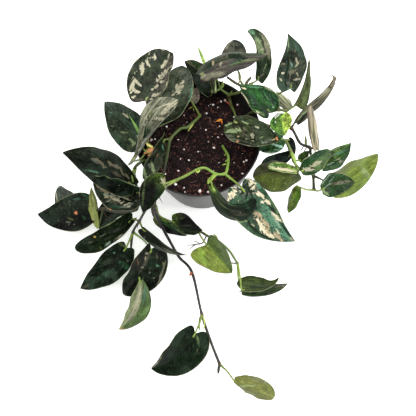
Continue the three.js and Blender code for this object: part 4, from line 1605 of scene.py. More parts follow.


# Leaf shades were matched to how dark each leaf looks where it lies, so they carry painted shade as well as
# leaf colour: near-black shades such as (3, 4, 3) stand for leaves and halves that lie in shade.
FRONT = Vine("front", 1.6, [
    (27, -6, 92), (28, -7, 104), (29, -12, 110), (33, -26, 118), (30, -43, 126), (26, -51, 129),
    (15, -51, 133), (5, -44, 136), (-4, -44, 137), (-20, -51, 138), (-36, -57, 138), (-52, -65, 135),
    (-65, -73, 122), (-75, -79, 101), (-84, -84, 80), (-95, -92, 60), (-102, -108, 36), (-104, -123, 26),
], [
    Leaf([(26, -51, 129), (38, -66, 137)], (43, -77, 150), (100, -137, 108), 51, -15, (1, -3), 7, 0, (15, 0),
        1, 0.15, Look(upper=(24, 50, 30), silver=(0.2, 0.2), margin=0.3, mottle=0.9, sheen=0.4, marks=(
        (0.07, -5, 14.5, 7.5, -55, GREY, 0.8), (0.6, -2, 30, 7.5, 10, (48, 84, 64), 0.6),
        (-0.02, 15, 10.5, 4, 80, IVORY), (-0.07, 8, 4, 0.5, -60, CREAM), (-0.02, -14, 5.5, 1, -40, CREAM),
        (0.05, -11, 7, 3, -20, IVORY), (0.21, -13, 7.5, 3, -20, IVORY), (0.37, -15, 6.5, 2, 5, IVORY),
        (0.31, -10, 4, 1.5, -25, IVORY), (0.1, -18, 6, 2, 0, TEAL), (0.59, -4, 28.5, 5.5, 10, TEAL),
        (0.63, -6, 12.5, 2, 15, MINT), (-0.03, -1, 4.5, 1.5, 65, CREAM), (0.39, 4, 8.5, 3.5, -20, BLUSH),
        (0.53, 4, 9.5, 2.5, 5, BLUSH), (0.49, 10, 10.5, 3.5, 10, IVORY), (0.64, 12, 11.5, 3, -5, IVORY),
        (0.76, 7, 9, 2.5, 5, BLUSH), (0.59, -10, 10.5, 2, 0, IVORY), (0.73, 2, 4.5, 1, 20, IVORY),
        (0.43, 18, 4.5, 2, 10, PALE_EDGE), (0.3, 24, 7, 1, -55, MOSS), (0.94, 0, 5, 1.5, 15, SILVER),
        (-0.01, 3, 5, 1, -45, DARK), (0.04, 5, 5.5, 1, 80, DARK), (0, -5, 5, 1.5, 80, DARK),
        (-0.02, -3, 3.5, 0.5, 35, DARK), (0.26, 0, 8, 2.5, 15, DARK), (0.47, -13, 10, 1.5, 5, DARK),
        (0.81, -5, 13.5, 1.5, 20, DARK), (0.43, 19, 11, 2.5, 0, DARK), (0.65, 16, 13.5, 1.5, -15, DARK),
        (0.6, -14, 25, 0.5, 15, OLIVE, 0.8), (0.03, -15, 6.5, 1.5, -35, IVORY), (0.48, 0, 8.5, 2, 10, TEAL),
        (0.86, -1, 10, 2.5, 20, TEAL), (0.26, 9, 9, 4, 5, DARK), (0.63, 10, 7, 2, 20, BLUSH),
        (0.02, -4, 6, 1.5, -20, DARK), (0.02, -8, 6.5, 1.5, 25, DARK), (0.06, -11, 6, 1.5, 80, DARK),
        (0.12, -9, 7, 1.5, -35, DARK), (0.06, 0, 7, 1.5, -80, DARK), (0.1, -1, 6.5, 1.5, 55, DARK),
        (0.13, -5, 7, 1.5, 5, DARK), (0.05, -5, 3.5, 1.5, -30, DARK),
    ))),
    Leaf([(15, -51, 133), (9, -59, 143)], (10, -75, 158), (56, -96, 166), 37, 160, (9, 13), -18, 30, (95, 20),
        0.6, -0.1, Look(under=(10, 19, 8), young=0.08, margin=0.1, streaks=0.6, marked_below=True, marks=(
        (0.64, -8, 8, 2.5, -20, BARK, 0.6), (0.31, -3, 10, 0.5, -5, OLIVE, 0.7),
        (0.47, 2, 12, 1.5, 5, OLIVE, 0.7), (0.61, -5, 10, 2, -15, SHADE, 0.7),
        (0.52, -14, 6.5, 1, -10, OLIVE, 0.7), (0.67, 5, 12.5, 3.5, -35, DARK, 0.8),
        (0.83, 0, 11, 1.5, -90, PINE, 0.7), (0, -1, 5, 3.5, 30, (88, 112, 48), 0.8),
    ))),
    # painted shade: the near-black right half lies in shade
    Leaf([(-32, -55, 138)], (-44, -61, 148), (-74, -88, 129), 36, 30, (2, 1), 1, 15, (45, 25), 0.85, 0.2,
        Look(upper=(11, 21, 7), right_half=(3, 4, 3), silver=(0.08, 0.08), young=0.15, mottle=0.6, marks=(
        (-0.01, -2, 10, 3, 90, PALE_EDGE), (-0.02, -5, 5.5, 1, 75, OLIVE), (-0.08, 1, 6.5, 1, 85, BLUSH),
        (0.04, 4, 6, 1.5, -70, OLIVE, 0.8), (0.54, 13, 17.5, 1.5, -30, OLIVE, 0.6),
        (0.63, 16, 5, 0.5, -40, BARK, 0.7),
    ))),
    Leaf([(-84, -84, 80)], (-94, -76, 64), (-174, -97, 34), 37, 15, (4, 3), -13, 25, (50, 15), 0.6, -0.05,
        Look(upper=(12, 22, 8), mottle=0.7, marks=(
        (0.61, 10, 2, 2, 0, (172, 148, 88)), (0.51, 7, 3.5, 1.5, 10, GREY), (0.44, 7, 2, 1, 10, OLIVE),
        (0.72, 4, 4, 1, 0, TAN), (0.45, -10, 3.5, 3.5, 0, MINT), (0.55, -12, 6, 1, 60, (88, 104, 60)),
        (0.27, -11, 6, 3.5, 15, SILVER), (0.29, 16, 14, 0.5, 5, MOSS, 0.8),
        (0.58, -18, 6, 0.5, 10, OLIVE, 0.8), (0.25, 3, 11.5, 3, 15, SHADE, 0.8),
        (0.44, 0, 7, 1.5, 5, SHADE, 0.6),
    ))),
    Leaf([(-95, -92, 60)], (-107, -108, 46), (-174, -148, 16), 43, 0, (-3, 6), -4, 10, (35, 25), 0.9, -0.15,
        Look(upper=(6, 16, 6), silver=(0.06, 0.06), mottle=0.8, sheen=0.5, marks=(
        (0.18, 8, 1.5, 1.5, 0, TEAL), (0.11, -13, 3, 1, -85, GREY), (0.8, 0, 1.5, 1.5, 0, SHADE),
        (0.92, -1, 8.5, 2.5, 10, BARK, 0.8), (-0.01, 7, 7.5, 2.5, -85, OLIVE, 0.7),
        (0.2, -14, 12, 4, 70, PINE, 0.7), (0.33, 4, 12.5, 4, 20, SHADE, 0.6),
        (0.54, -5, 16, 4, 10, PINE, 0.5),
    ))),
    Leaf([(-95, -92, 60), (-84, -101, 50)], (-76, -112, 40), (-117, -163, 12), 54, -35, (6, 3), 0, 10,
        (30, 10), 0.6, -0.15, Look(upper=(4, 9, 3), silver=(0.12, 0.12), margin=0.3, mottle=0.9, marks=(
        (0.09, 5, 4, 1.5, -90, SILVER), (0.18, 3, 4, 1.5, -35, BLUSH), (0.36, 1, 3, 1.5, -90, SILVER),
        (0.26, 0, 18, 3, 0, BARK, 0.8), (0.22, -17, 2.5, 1.5, 85, TEAL), (0.39, -12, 1.5, 1.5, 0, GREY),
        (0.06, -10, 4.5, 2, -25, BARK, 0.7), (0.15, -22, 4, 1, -40, (100, 108, 56)),
        (0.98, 2, 4.5, 1, -75, TAN, 0.8), (0.21, 1, 4.5, 1.5, 15, BARK, 0.5),
        (0.26, 14, 9.5, 1, -45, (88, 64, 44), 0.7), (0.31, -26, 18.5, 1.5, -10, TAN),
    ))),
    Leaf([(-84, -84, 80)], (-82, -90, 62), (-31, -125, 42), 30, 55, (1, 8), 2, 15, (10, 50), 1.1, -0.2,
        Look(upper=(20, 26, 14), under=(28, 34, 10), silver=(0.0, 0.0), mottle=0.4, streaks=0.9, marks=(
        (0.31, -14, 17.5, 3.5, 0, MOSS), (0.66, 5, 24, 4, -15, GREY, 0.9), (0.13, 9, 1.5, 1.5, 0, GREY),
        (0.4, 10, 12.5, 0.5, -10, GREY, 0.8), (0.51, -4, 11.5, 1.5, -5, OLIVE, 0.7),
    ))),
    Leaf([(-104, -123, 26), (-97, -136, 24)], (-95, -152, 26), (-129, -205, 10), 34, -170, (-9, 3), 10, 25,
        (-15, 50), 0.8, 0.25, Look(under=(107, 117, 83), right_under=(56, 73, 39), margin=0.1, streaks=0.4,
        marked_below=True, marks=(
        (0.41, 1, 28, 4.5, 0, SILVER, 0.8), (0.18, 8, 11, 2.5, 0, (48, 76, 64), 0.7),
        (0.95, 2, 4, 2, -40, (132, 112, 72), 0.8), (0.18, 15, 7, 1, 30, BARK, 0.8),
        (0.5, 14, 12, 3, -25, (88, 112, 68), 0.5),
    )), rise=0.85),
], tints=((0.0, (96, 122, 50)), (0.28, (112, 140, 56)), (0.54, (104, 126, 52)), (0.66, (52, 56, 34)),
    (0.85, (34, 34, 24)), (1.0, (44, 54, 28))), stalks=((110, 136, 56), (124, 146, 62)), sprigs=(
    Sprig([(29, -33, 121), (31, -32, 123), (33, -31, 124)], (0.9, 0.6, 0.15), (140, 158, 74)),
    Sprig([(29, -37, 123), (26, -38, 125), (24, -39, 125)], (0.9, 0.6, 0.15), (140, 158, 74)),
    Sprig([(29, -24, 117), (31, -22, 119), (33, -22, 121)], (0.8, 0.5, 0.15), (132, 150, 70)),
    Sprig([(-3, -46, 137), (-6, -49, 140), (-8, -45, 142)], (1.1, 1.3, 0.3), (158, 178, 84), 0.7),
    Sprig([(15, -52, 133), (8, -60, 141), (5, -66, 146)], (2.6, 3.2, 0.8), (142, 164, 72), 0.45),
    Sprig([(-33, -56, 137), (-40, -60, 143), (-45, -64, 148)], (2.2, 3.4, 0.6), (130, 140, 76), 0.4),
    Sprig([(-84, -84, 80), (-88, -92, 76)], (0.7, 0.25), (60, 44, 30)),
    Sprig([(-52, -65, 135), (-53, -72, 133), (-50, -78, 128)], (0.8, 0.6, 0.2), (70, 52, 36)),
))
TRAILING = Vine("trailing", 1.8, [
    (6, 38, 92), (5, 37, 104), (2, 31, 110), (-12, 18, 116), (-21, 16, 118), (-34, 4, 120), (-37, -7, 122),
    (-43, -33, 130), (-50, -57, 134), (-58, -68, 122), (-62, -78, 100), (-58, -90, 72), (-51, -105, 46),
    (-42, -123, 26), (-28, -142, 9), (-21, -197, 6), (-12, -237, 5), (-5, -262, 5),
], [
    Leaf([(4, 35, 107), (1, 41, 114)], (-4, 51, 117), (4, 66, 122), 16, 5, (5, 2), 1, 0, (20, 15), 0.8, -0.05,
        Look(upper=(108, 97, 89), silver=(0.4, 0.4), margin=0.5, mottle=0.8, marks=(
        (0.44, 0, 5, 2, -55, PALE_EDGE), (0.12, 5, 3.5, 1, -80, SILVER), (0.29, -1, 2.5, 1, -50, CREAM),
        (0.74, 1, 3, 1, -35, TAN),
    ))),
    Leaf([(-34, 4, 120)], (-42, 2, 123), (-69, -51, 146), 33, -60, (8, 1), 3, 0, (40, 25), 0.4, 0.15,
        Look(upper=(32, 36, 25), right_half=(17, 21, 11), margin=0.3, mottle=0.6, marks=(
        (0.18, -1, 4.5, 2, -70, TEAL), (0.13, -10, 10.5, 1, -15, BLUSH, 0.8), (0.71, 0, 8, 2, 70, GREY),
        (0.54, -3, 7.5, 2.5, 5, SHADE, 0.6), (0.69, -4, 9, 3, -70, MOSS), (0.92, 4, 9.5, 3.5, 90, MOSS),
        (0.14, -10, 11, 1, -15, (120, 88, 64)), (0.27, -1, 9, 3.5, -85, DARK, 0.9),
        (0.56, 12, 15, 3.5, 25, BARK, 0.7),
    ))),
    # painted shade: the near-black left half lies in shade
    Leaf([(-60, -75, 108), (-58, -81, 84)], (-44, -86, 66), (-8, -97, 50), 32, -30, (-4, -6), 3, 15, (45, 10),
        0.85, -0.1, Look(upper=(3, 4, 3), right_half=(31, 39, 26), silver=(0.0, 0.0), young=0.2, marks=(
        (0.15, -9, 8, 2, -35, OLIVE, 0.8), (0.13, 9, 12.5, 3.5, 35, PINE, 0.8),
        (0.43, -3, 10.5, 0.5, -20, SHADE, 0.8), (0.17, -14, 10.5, 0.5, -15, BARK, 0.7),
    ))),
    # painted shade: the near-black right half lies in shade
    Leaf([(-62, -78, 100)], (-64, -80, 68), (-28, -103, 54), 26, 55, (5, 2), -1, 0, (-5, 25), 0.85, -0.05,
        Look(upper=(25, 57, 26), right_half=(3, 3, 3), silver=(0.0, 0.0), young=0.3, marks=(
        (0.12, -7, 10.5, 2, -25, (96, 116, 44), 0.7),
    ))),
    Leaf([(-21, -197, 6), (-24, -207, 14)], (-32, -222, 18), (-92, -258, 5), 55, -25, (5, 13), -7, 10,
        (5, 20), 0.8, -0.05, Look(upper=(4, 16, 4), silver=(0.04, 0.04), margin=0.4, mottle=0.6, marks=(
        (0.06, -8, 7.5, 1.5, -50, OLIVE, 0.8), (0.2, -16, 4, 1, -55, BARK, 0.7), (0.71, 15, 3, 1, 80, OLIVE),
        (0.84, 9, 15, 1, -35, SILVER, 0.7), (0.07, 11, 11, 3, -75, DARK, 0.6),
        (0.26, -6, 3.5, 1, -40, BARK, 0.6),
    ))),
    Leaf([(-5, -262, 5), (4, -273, 11)], (12, -287, 17), (57, -311, 15), 35, -160, (-11, 2), 3, 30, (45, -20),
        0.45, -0.05, Look(under=(97, 101, 51), margin=0.1, streaks=0.3, marked_below=True, marks=(
        (0.23, 1, 18, 1, 20, MOSS, 0.8), (0.25, -13, 16.5, 3, -25, (96, 104, 52), 0.6),
        (0.55, 13, 14.5, 2.5, 0, TAN, 0.5),
    ))),
], tints=((0.0, (84, 102, 46)), (0.3, (72, 88, 42)), (0.42, (30, 32, 18)), (0.6, (12, 10, 9)),
    (0.88, (12, 10, 9)), (1.0, (26, 22, 14))), stalks=((92, 108, 46), (122, 140, 62)), sprigs=(
    Sprig([(-37, -5, 122), (-43, -20, 123), (-47, -29, 122), (-49, -35, 120)], (0.7, 0.6, 0.5, 0.15),
        (116, 84, 56)),
    Sprig([(-4, 24, 113), (-8, 18, 116), (-12, 12, 118)], (1.2, 1.5, 0.4), (150, 156, 74), 0.7),
    Sprig([(-21, -197, 6), (-24, -203, 9), (-26, -213, 10), (-25, -219, 11)], (1.3, 1.5, 1.2, 0.3),
        (110, 124, 52), 0.5),
    Sprig([(-21, -197, 6), (-19, -204, 9), (-19, -212, 10), (-22, -218, 11)], (1.0, 1.1, 0.9, 0.3),
        (150, 164, 74), 0.5),
    Sprig([(-5, -262, 5), (-7, -268, 6), (-8, -273, 6)], (1.9, 1.9, 1.3), (26, 20, 16)),
    Sprig([(-28, -142, 9), (-30, -144, 9), (-32, -145, 8)], (2.3, 1.9, 0.5), (150, 72, 40)),
))
HANGING = Vine("hanging", 1.6, [
    (-49, -33, 92), (-50, -34, 104), (-52, -39, 117), (-55, -45, 131), (-60, -53, 135), (-64, -61, 126),
    (-65, -68, 102), (-67, -74, 70), (-62, -79, 46), (-47, -86, 36), (-29, -90, 34), (-14, -93, 34),
    (-2, -102, 36), (10, -109, 34), (23, -123, 31), (32, -140, 26),
], [
    Leaf([(-14, -93, 34), (-11, -103, 43)], (-5, -115, 44), (23, -150, 18), 42, 175, (3, -6), 2, -5, (35, 10),
        0.7, -0.25, Look(under=(99, 112, 45), right_under=(60, 76, 32), margin=0.2, streaks=0.25,
        marked_below=True, marks=(
        (0.44, 9, 25, 3.5, -20, OLIVE, 0.9), (0.14, -14, 15, 4, -25, YOUNG, 0.5),
        (0.36, -23, 9.5, 0.5, 15, BLUSH, 0.8), (0.15, 0, 11.5, 1, -20, (96, 112, 48), 0.7),
        (0.89, -5, 6.5, 1, 55, OLIVE, 0.7),
    )), rise=0.15),
    Leaf([(32, -140, 26), (33, -158, 30)], (33, -174, 25), (82, -165, 38), 28, -40, (-3, -21), 4, 10,
        (65, 70), 1.05, -0.35, Look(upper=(52, 63, 29), under=(92, 98, 70), silver=(0.0, 0.0), streaks=0.5,
        marks=(
        (0.34, -3, 19.5, 1, 10, DARK, 0.9), (0.94, 1, 4, 1, -15, MOSS, 0.8), (-0.04, 3, 3, 2, -65, TAN, 0.8),
    ))),
    Leaf([(32, -140, 26), (31, -160, 20)], (36, -173, 14), (94, -170, 10), 26, 35, (-1, 9), 0, 5, (25, 40),
        0.8, -0.15, Look(upper=(46, 62, 36), under=(76, 88, 58), silver=(0.0, 0.0), streaks=0.6, marks=(
        (0.38, -1, 16, 1, -20, CREAM), (0.56, 6, 10.5, 2, -10, SHADE, 0.8), (0.85, 0, 8.5, 2.5, 0, TAN, 0.8),
    ))),
], tints=((0.0, (60, 66, 36)), (0.4, (34, 34, 24)), (0.7, (44, 50, 30)), (0.85, (84, 104, 50)),
    (1.0, (92, 110, 58))), stalks=((120, 142, 62), (136, 156, 76)), sprigs=(
    Sprig([(-3, -100, 36), (-10, -110, 36), (-19, -111, 36), (-31, -111, 34)], (0.9, 0.8, 0.7, 0.25),
        (38, 30, 24)),
    Sprig([(-18, -111, 36), (-23, -113, 34), (-28, -117, 33)], (0.7, 0.6, 0.2), (38, 30, 24)),
    Sprig([(-14, -110, 36), (-18, -108, 38), (-22, -107, 39)], (0.6, 0.5, 0.2), (50, 40, 30)),
    Sprig([(10, -109, 34), (8, -104, 38), (5, -101, 40)], (1.2, 1.5, 0.4), (130, 150, 66), 0.6),
    Sprig([(32, -140, 26), (25, -138, 24), (19, -136, 23)], (1.0, 0.8, 0.5), (40, 40, 26)),
))
LEFT = Vine("left", 1.8, [
    (-59, -15, 92), (-60, -16, 104), (-64, -20, 117), (-67, -24, 131), (-72, -28, 136), (-79, -32, 131),
    (-82, -38, 118), (-81, -49, 108), (-80, -61, 98), (-86, -70, 86), (-102, -68, 72), (-120, -61, 58),
    (-131, -56, 54), (-140, -55, 50),
], [
    # painted shade: the near-black left half lies in shade
    Leaf([(-82, -38, 118)], (-84, -50, 122), (-170, 9, 100), 51, -15, (-6, -4), 6, 0, (65, -5), 0.9, 0,
        Look(upper=(3, 8, 3), right_half=(16, 22, 12), silver=(0.06, 0.06), margin=0.3, mottle=0.6, marks=(
        (0.5, 3, 10, 2.5, 20, TAN), (0.58, 2, 6.5, 1.5, 15, GREY), (0.38, 8, 5, 2, 15, TAN),
        (0.29, 8, 8.5, 2.5, -10, TAN), (0.19, 6, 6.5, 2.5, 35, TAN), (0.1, 5, 6, 2, 25, TAN),
        (0.25, 0, 9.5, 2.5, 0, BARK, 0.8), (0.84, -10, 8.5, 0.5, 25, TAN, 0.8),
        (0.57, -11, 12.5, 1, -10, TEAL, 0.8), (0.29, -9, 11.5, 1, -10, BARK, 0.8),
        (0.55, 18, 23.5, 3, -20, SHADE, 0.7), (0.61, 11, 27, 3, -15, SHADE, 0.5),
    ))),
    Leaf([(-80, -61, 98)], (-77, -59, 116), (-134, -26, 100), 61, -25, (0, -7), -6, 30, (35, 35), 0.7, 0,
        Look(upper=(20, 23, 16), right_half=(21, 38, 21), silver=(0.3, 0.1), margin=0.3, mottle=0.9, marks=(
        (0.76, -9, 8.5, 2, 5, BLUSH), (0.58, -17, 3, 1.5, -25, BLUSH), (0.42, -14, 7.5, 3, 0, CREAM),
        (0.32, -9, 14.5, 1.5, 5, CREAM), (0.25, -15, 4, 1, -60, CREAM), (0.78, -9, 9, 3, 20, TAN, 0.8),
        (0.6, -14, 6.5, 1.5, -15, MINT), (0.33, -23, 6.5, 2, -5, PINE), (0.13, -19, 5, 1.5, 5, CREAM),
        (0.37, -30, 1, 1, 0, RUST), (0.48, -23, 11, 4, 15, DARK, 0.6), (0.96, -2, 4.5, 1, 45, MOSS, 0.8),
        (0.13, -18, 9.5, 2.5, -40, GREY), (0.46, -15, 14, 5, 20, TAN, 0.4), (0.7, -10, 8, 2, 5, BLUSH),
        (0.53, -9, 10.5, 1.5, 5, PALE_EDGE), (0.15, -16, 5.5, 1.5, -35, PALE_EDGE),
        (0.31, -23, 6.5, 1, 5, (36, 68, 56)), (0.29, -18, 7.5, 1, 15, SHADE),
    ))),
    # painted shade: the near-black left half lies in shade
    Leaf([(-140, -55, 50)], (-147, -50, 46), (-223, -44, 24), 50, 5, (-2, 0), -9, 5, (10, 30), 0.95, 0.05,
        Look(upper=(3, 5, 3), right_half=(22, 30, 21), margin=0.4, marks=(
        (0.04, 19, 4.5, 1.5, 45, (48, 76, 56)), (0.2, 18, 6.5, 2, 15, (52, 76, 60)),
        (0.25, 15, 3.5, 1, 10, BARK), (0.29, 1, 2.5, 2.5, 0, RUST), (0.4, -5, 5.5, 1.5, 30, OLIVE),
        (0.44, -9, 4, 1.5, 20, GREY), (0.16, -9, 4.5, 2, 45, PINE), (0.48, 14, 14.5, 4, -20, SHADE, 0.8),
        (-0.01, 16, 6.5, 2.5, -80, PINE, 0.7),
    ))),
    Leaf([(-140, -55, 50)], (-161, -52, 26), (-194, -5, 14), 38, -15, (5, 7), -5, 10, (20, 25), 0.8, -0.05,
        Look(upper=(56, 63, 55), under=(84, 86, 78), silver=(0.0, 0.0), streaks=0.4, marks=(
        (0.77, -9, 7.5, 1, 20, SILVER, 0.9), (0.96, 0, 1.5, 1.5, 0, SILVER, 0.9),
        (0.68, -2, 11, 1.5, 25, BARK, 0.6),
    ))),
    Leaf([(-131, -56, 54)], (-140, -75, 44), (-144, -27, 60), 20, -135, (1, -5), -1, 10, (90, 65), 0.85, 0,
        Look(under=(112, 116, 63), margin=0.1, streaks=0.35, marked_below=True, marks=(
        (0.43, 10, 3.5, 0.5, 0, YOUNG, 0.8), (0.5, 3, 24, 1, -5, (140, 152, 96), 0.6),
        (0.25, 2, 16, 1.5, -5, (96, 112, 56), 0.6),
    )), rise=0.65),
    # painted shade: the near-black right half lies in shade
    Leaf([(-86, -70, 86), (-91, -62, 60)], (-99, -54, 42), (-142, -75, 30), 38, 30, (5, 7), 2, 15, (40, 15),
        0.7, 0.2, Look(upper=(40, 54, 44), right_half=(3, 4, 3), silver=(0.08, 0.08), mottle=0.6, marks=(
        (0.47, 9, 1.5, 1.5, 0, RUST), (0.55, -1, 13.5, 3, 10, BARK, 0.7), (0.13, 1, 8, 2, 55, BARK, 0.6),
    ))),
], tints=((0.0, (70, 86, 42)), (0.6, (50, 54, 32)), (1.0, (34, 36, 24))), stalks=((56, 62, 34),
    (88, 104, 50)), sprigs=(
    Sprig([(-79, -32, 131), (-82, -40, 127), (-83, -47, 124)], (2.4, 2.6, 0.8), (116, 136, 62), 0.45),
    Sprig([(-131, -56, 54), (-130, -62, 50), (-127, -66, 47)], (0.7, 0.6, 0.2), (66, 50, 36)),
))
UPPER_LEFT = Vine("upper_left", 1.9, [
    (-50, -2, 92), (-50, -3, 104), (-54, -7, 120), (-59, -6, 130), (-61, -3, 140), (-58, 5, 147),
], [
    Leaf([(-58, 5, 147), (-53, 23, 160)], (-56, 36, 168), (-21, 96, 163), 52, -15, (0, 8), 4, 15, (10, 55),
        0.6, -0.35, Look(upper=(28, 34, 22), right_half=(61, 59, 52), silver=(0.12, 0.2), band=0.7,
        margin=0.4, mottle=0.35, sheen=0.2, marks=(
        (0.46, -23, 9.5, 3, -25, CREAM), (0.59, -20, 5.5, 2, -60, CREAM), (0.68, -21, 4.5, 1, 50, CREAM),
        (0.74, -15, 4, 2, -35, CREAM), (0.94, -11, 3, 0.5, 60, CREAM), (0.74, -24, 2.5, 1, 0, SILVER),
        (0.1, -23, 10.5, 3, -20, CREAM), (0.19, -19, 5.5, 2, -70, CREAM), (0.04, -16, 5.5, 2.5, 75, CREAM),
        (0.34, -28, 3, 1, 30, SILVER), (-0.07, -14, 3, 1.5, 15, CREAM), (0.73, -2, 7.5, 2.5, 10, CREAM),
        (0.9, -1, 4.5, 1, -10, CREAM), (0.53, 3, 7, 3.5, 25, CREAM), (0.4, -1, 2.5, 1.5, -55, CREAM),
        (0.4, 7, 3.5, 2, 70, CREAM), (0.37, 16, 3, 2, -5, CREAM), (0.54, 16, 4, 1, -10, CREAM),
        (0.29, 2, 4, 2.5, 35, CREAM), (0.22, -1, 1.5, 1.5, 0, CREAM), (0.15, 8, 6.5, 2.5, 55, CREAM),
        (0.06, 6, 2, 2, 0, CREAM), (0.67, 12, 4, 2, 75, CREAM), (-0.06, -7, 8, 2.5, 50, BARK, 0.8),
    ))),
    Leaf([(-58, 5, 147)], (-51, 15, 150), (-8, 85, 146), 54, 15, (-11, 3), 6, 20, (70, 0), 0.65, 0,
        Look(upper=(46, 51, 39), silver=(0.06, 0.06), margin=0.5, sheen=0.25, marks=(
        (0.67, 4, 8.5, 3.5, 5, CREAM), (0.67, 0, 3.5, 2, -5, CREAM), (0.54, 1, 2.5, 1, 20, CREAM),
        (0.86, 3, 13, 6, -60, GREY, 0.5), (0.9, -2, 4, 1, 55, TAN), (0.38, 25, 13, 3, 5, PINE, 0.7),
        (0.64, 21, 12, 1, -20, TEAL),
    ))),
    Leaf([(-61, -3, 140)], (-69, 0, 143), (-110, 60, 124), 50, -30, (1, 7), 0, 0, (10, 20), 0.95, -0.05,
        Look(upper=(29, 37, 25), right_half=(34, 48, 34), silver=(0.3, 0.25), mottle=0.6, sheen=0.7, marks=(
        (0.42, 10, 6.5, 1.5, -5, PALE_EDGE), (0.22, 11, 12, 4, 10, PINE, 0.7), (0.32, -9, 7.5, 1, -30, MOSS),
        (0.57, -14, 4, 1, -25, GREY), (0.11, -10, 6.5, 2.5, -20, MOSS), (0.04, -12, 3.5, 1.5, -65, MOSS),
        (0.27, -22, 9, 2.5, -5, PINE, 0.6), (0.75, -3, 4.5, 0.5, -25, TEAL),
    ))),
    Leaf([(-59, -6, 130), (-70, -22, 134)], (-80, -26, 140), (-18, 30, 172), 39, -20, (-17, 9), -8, 15,
        (185, 0), 0.9, -0.2, Look(upper=(109, 110, 92), right_half=(77, 78, 66), under=(104, 106, 96),
        silver=(0.5, 0.5), margin=0.4, mottle=0.7, streaks=0.8, marks=(
        (0.82, -6, 10.5, 1, 25, CREAM), (0.84, 1, 12, 2.5, 10, CREAM), (0.77, 1, 8, 1, 45, CREAM),
        (0.68, 4, 10, 2, 55, CREAM), (0.8, 12, 2, 1, 5, CREAM), (0.91, 7, 2, 1, -55, CREAM),
        (0.63, -15, 4, 1, -75, SILVER), (0.56, -15, 4.5, 1.5, 85, CREAM), (0.33, 0, 19, 4, -20, PINE, 0.9),
        (0.26, -6, 20.5, 2, -10, PALE_EDGE, 0.7), (0.85, -2, 13.5, 0.5, 5, CREAM),
        (0.74, -12, 6.5, 1, 25, BARK), (0.59, -4, 5.5, 1, 60, BARK), (0.86, 4, 6, 1.5, 5, BARK),
    )), rise=1.5),
], tints=((0.0, (90, 108, 50)), (1.0, (84, 104, 52))), stalks=((96, 114, 54), (124, 138, 84)), sprigs=(
    Sprig([(-61, -2, 139), (-66, 1, 142), (-72, 13, 149), (-78, 26, 152)], (1.2, 2.0, 1.8, 0.2),
        (104, 144, 62), 0.6),
    Sprig([(-53, -15, 139), (-58, -15, 139), (-66, -17, 136)], (2.4, 3.6, 1.2), (176, 118, 70), 0.4),
    Sprig([(-52, -18, 138), (-57, -21, 138), (-62, -20, 136)], (1.0, 2.6, 0.8), (150, 96, 56), 0.5),
    Sprig([(-55, -12, 140), (-60, -9, 141), (-62, -6, 142)], (1.2, 1.8, 0.6), (216, 212, 120), 0.5),
    Sprig([(-59, -19, 138), (-65, -14, 138), (-67, -9, 138)], (0.9, 1.2, 0.4), (92, 116, 50), 0.5),
    Sprig([(-50, -20, 137), (-53, -25, 134), (-52, -30, 130)], (0.8, 0.7, 0.2), (120, 84, 56)),
))
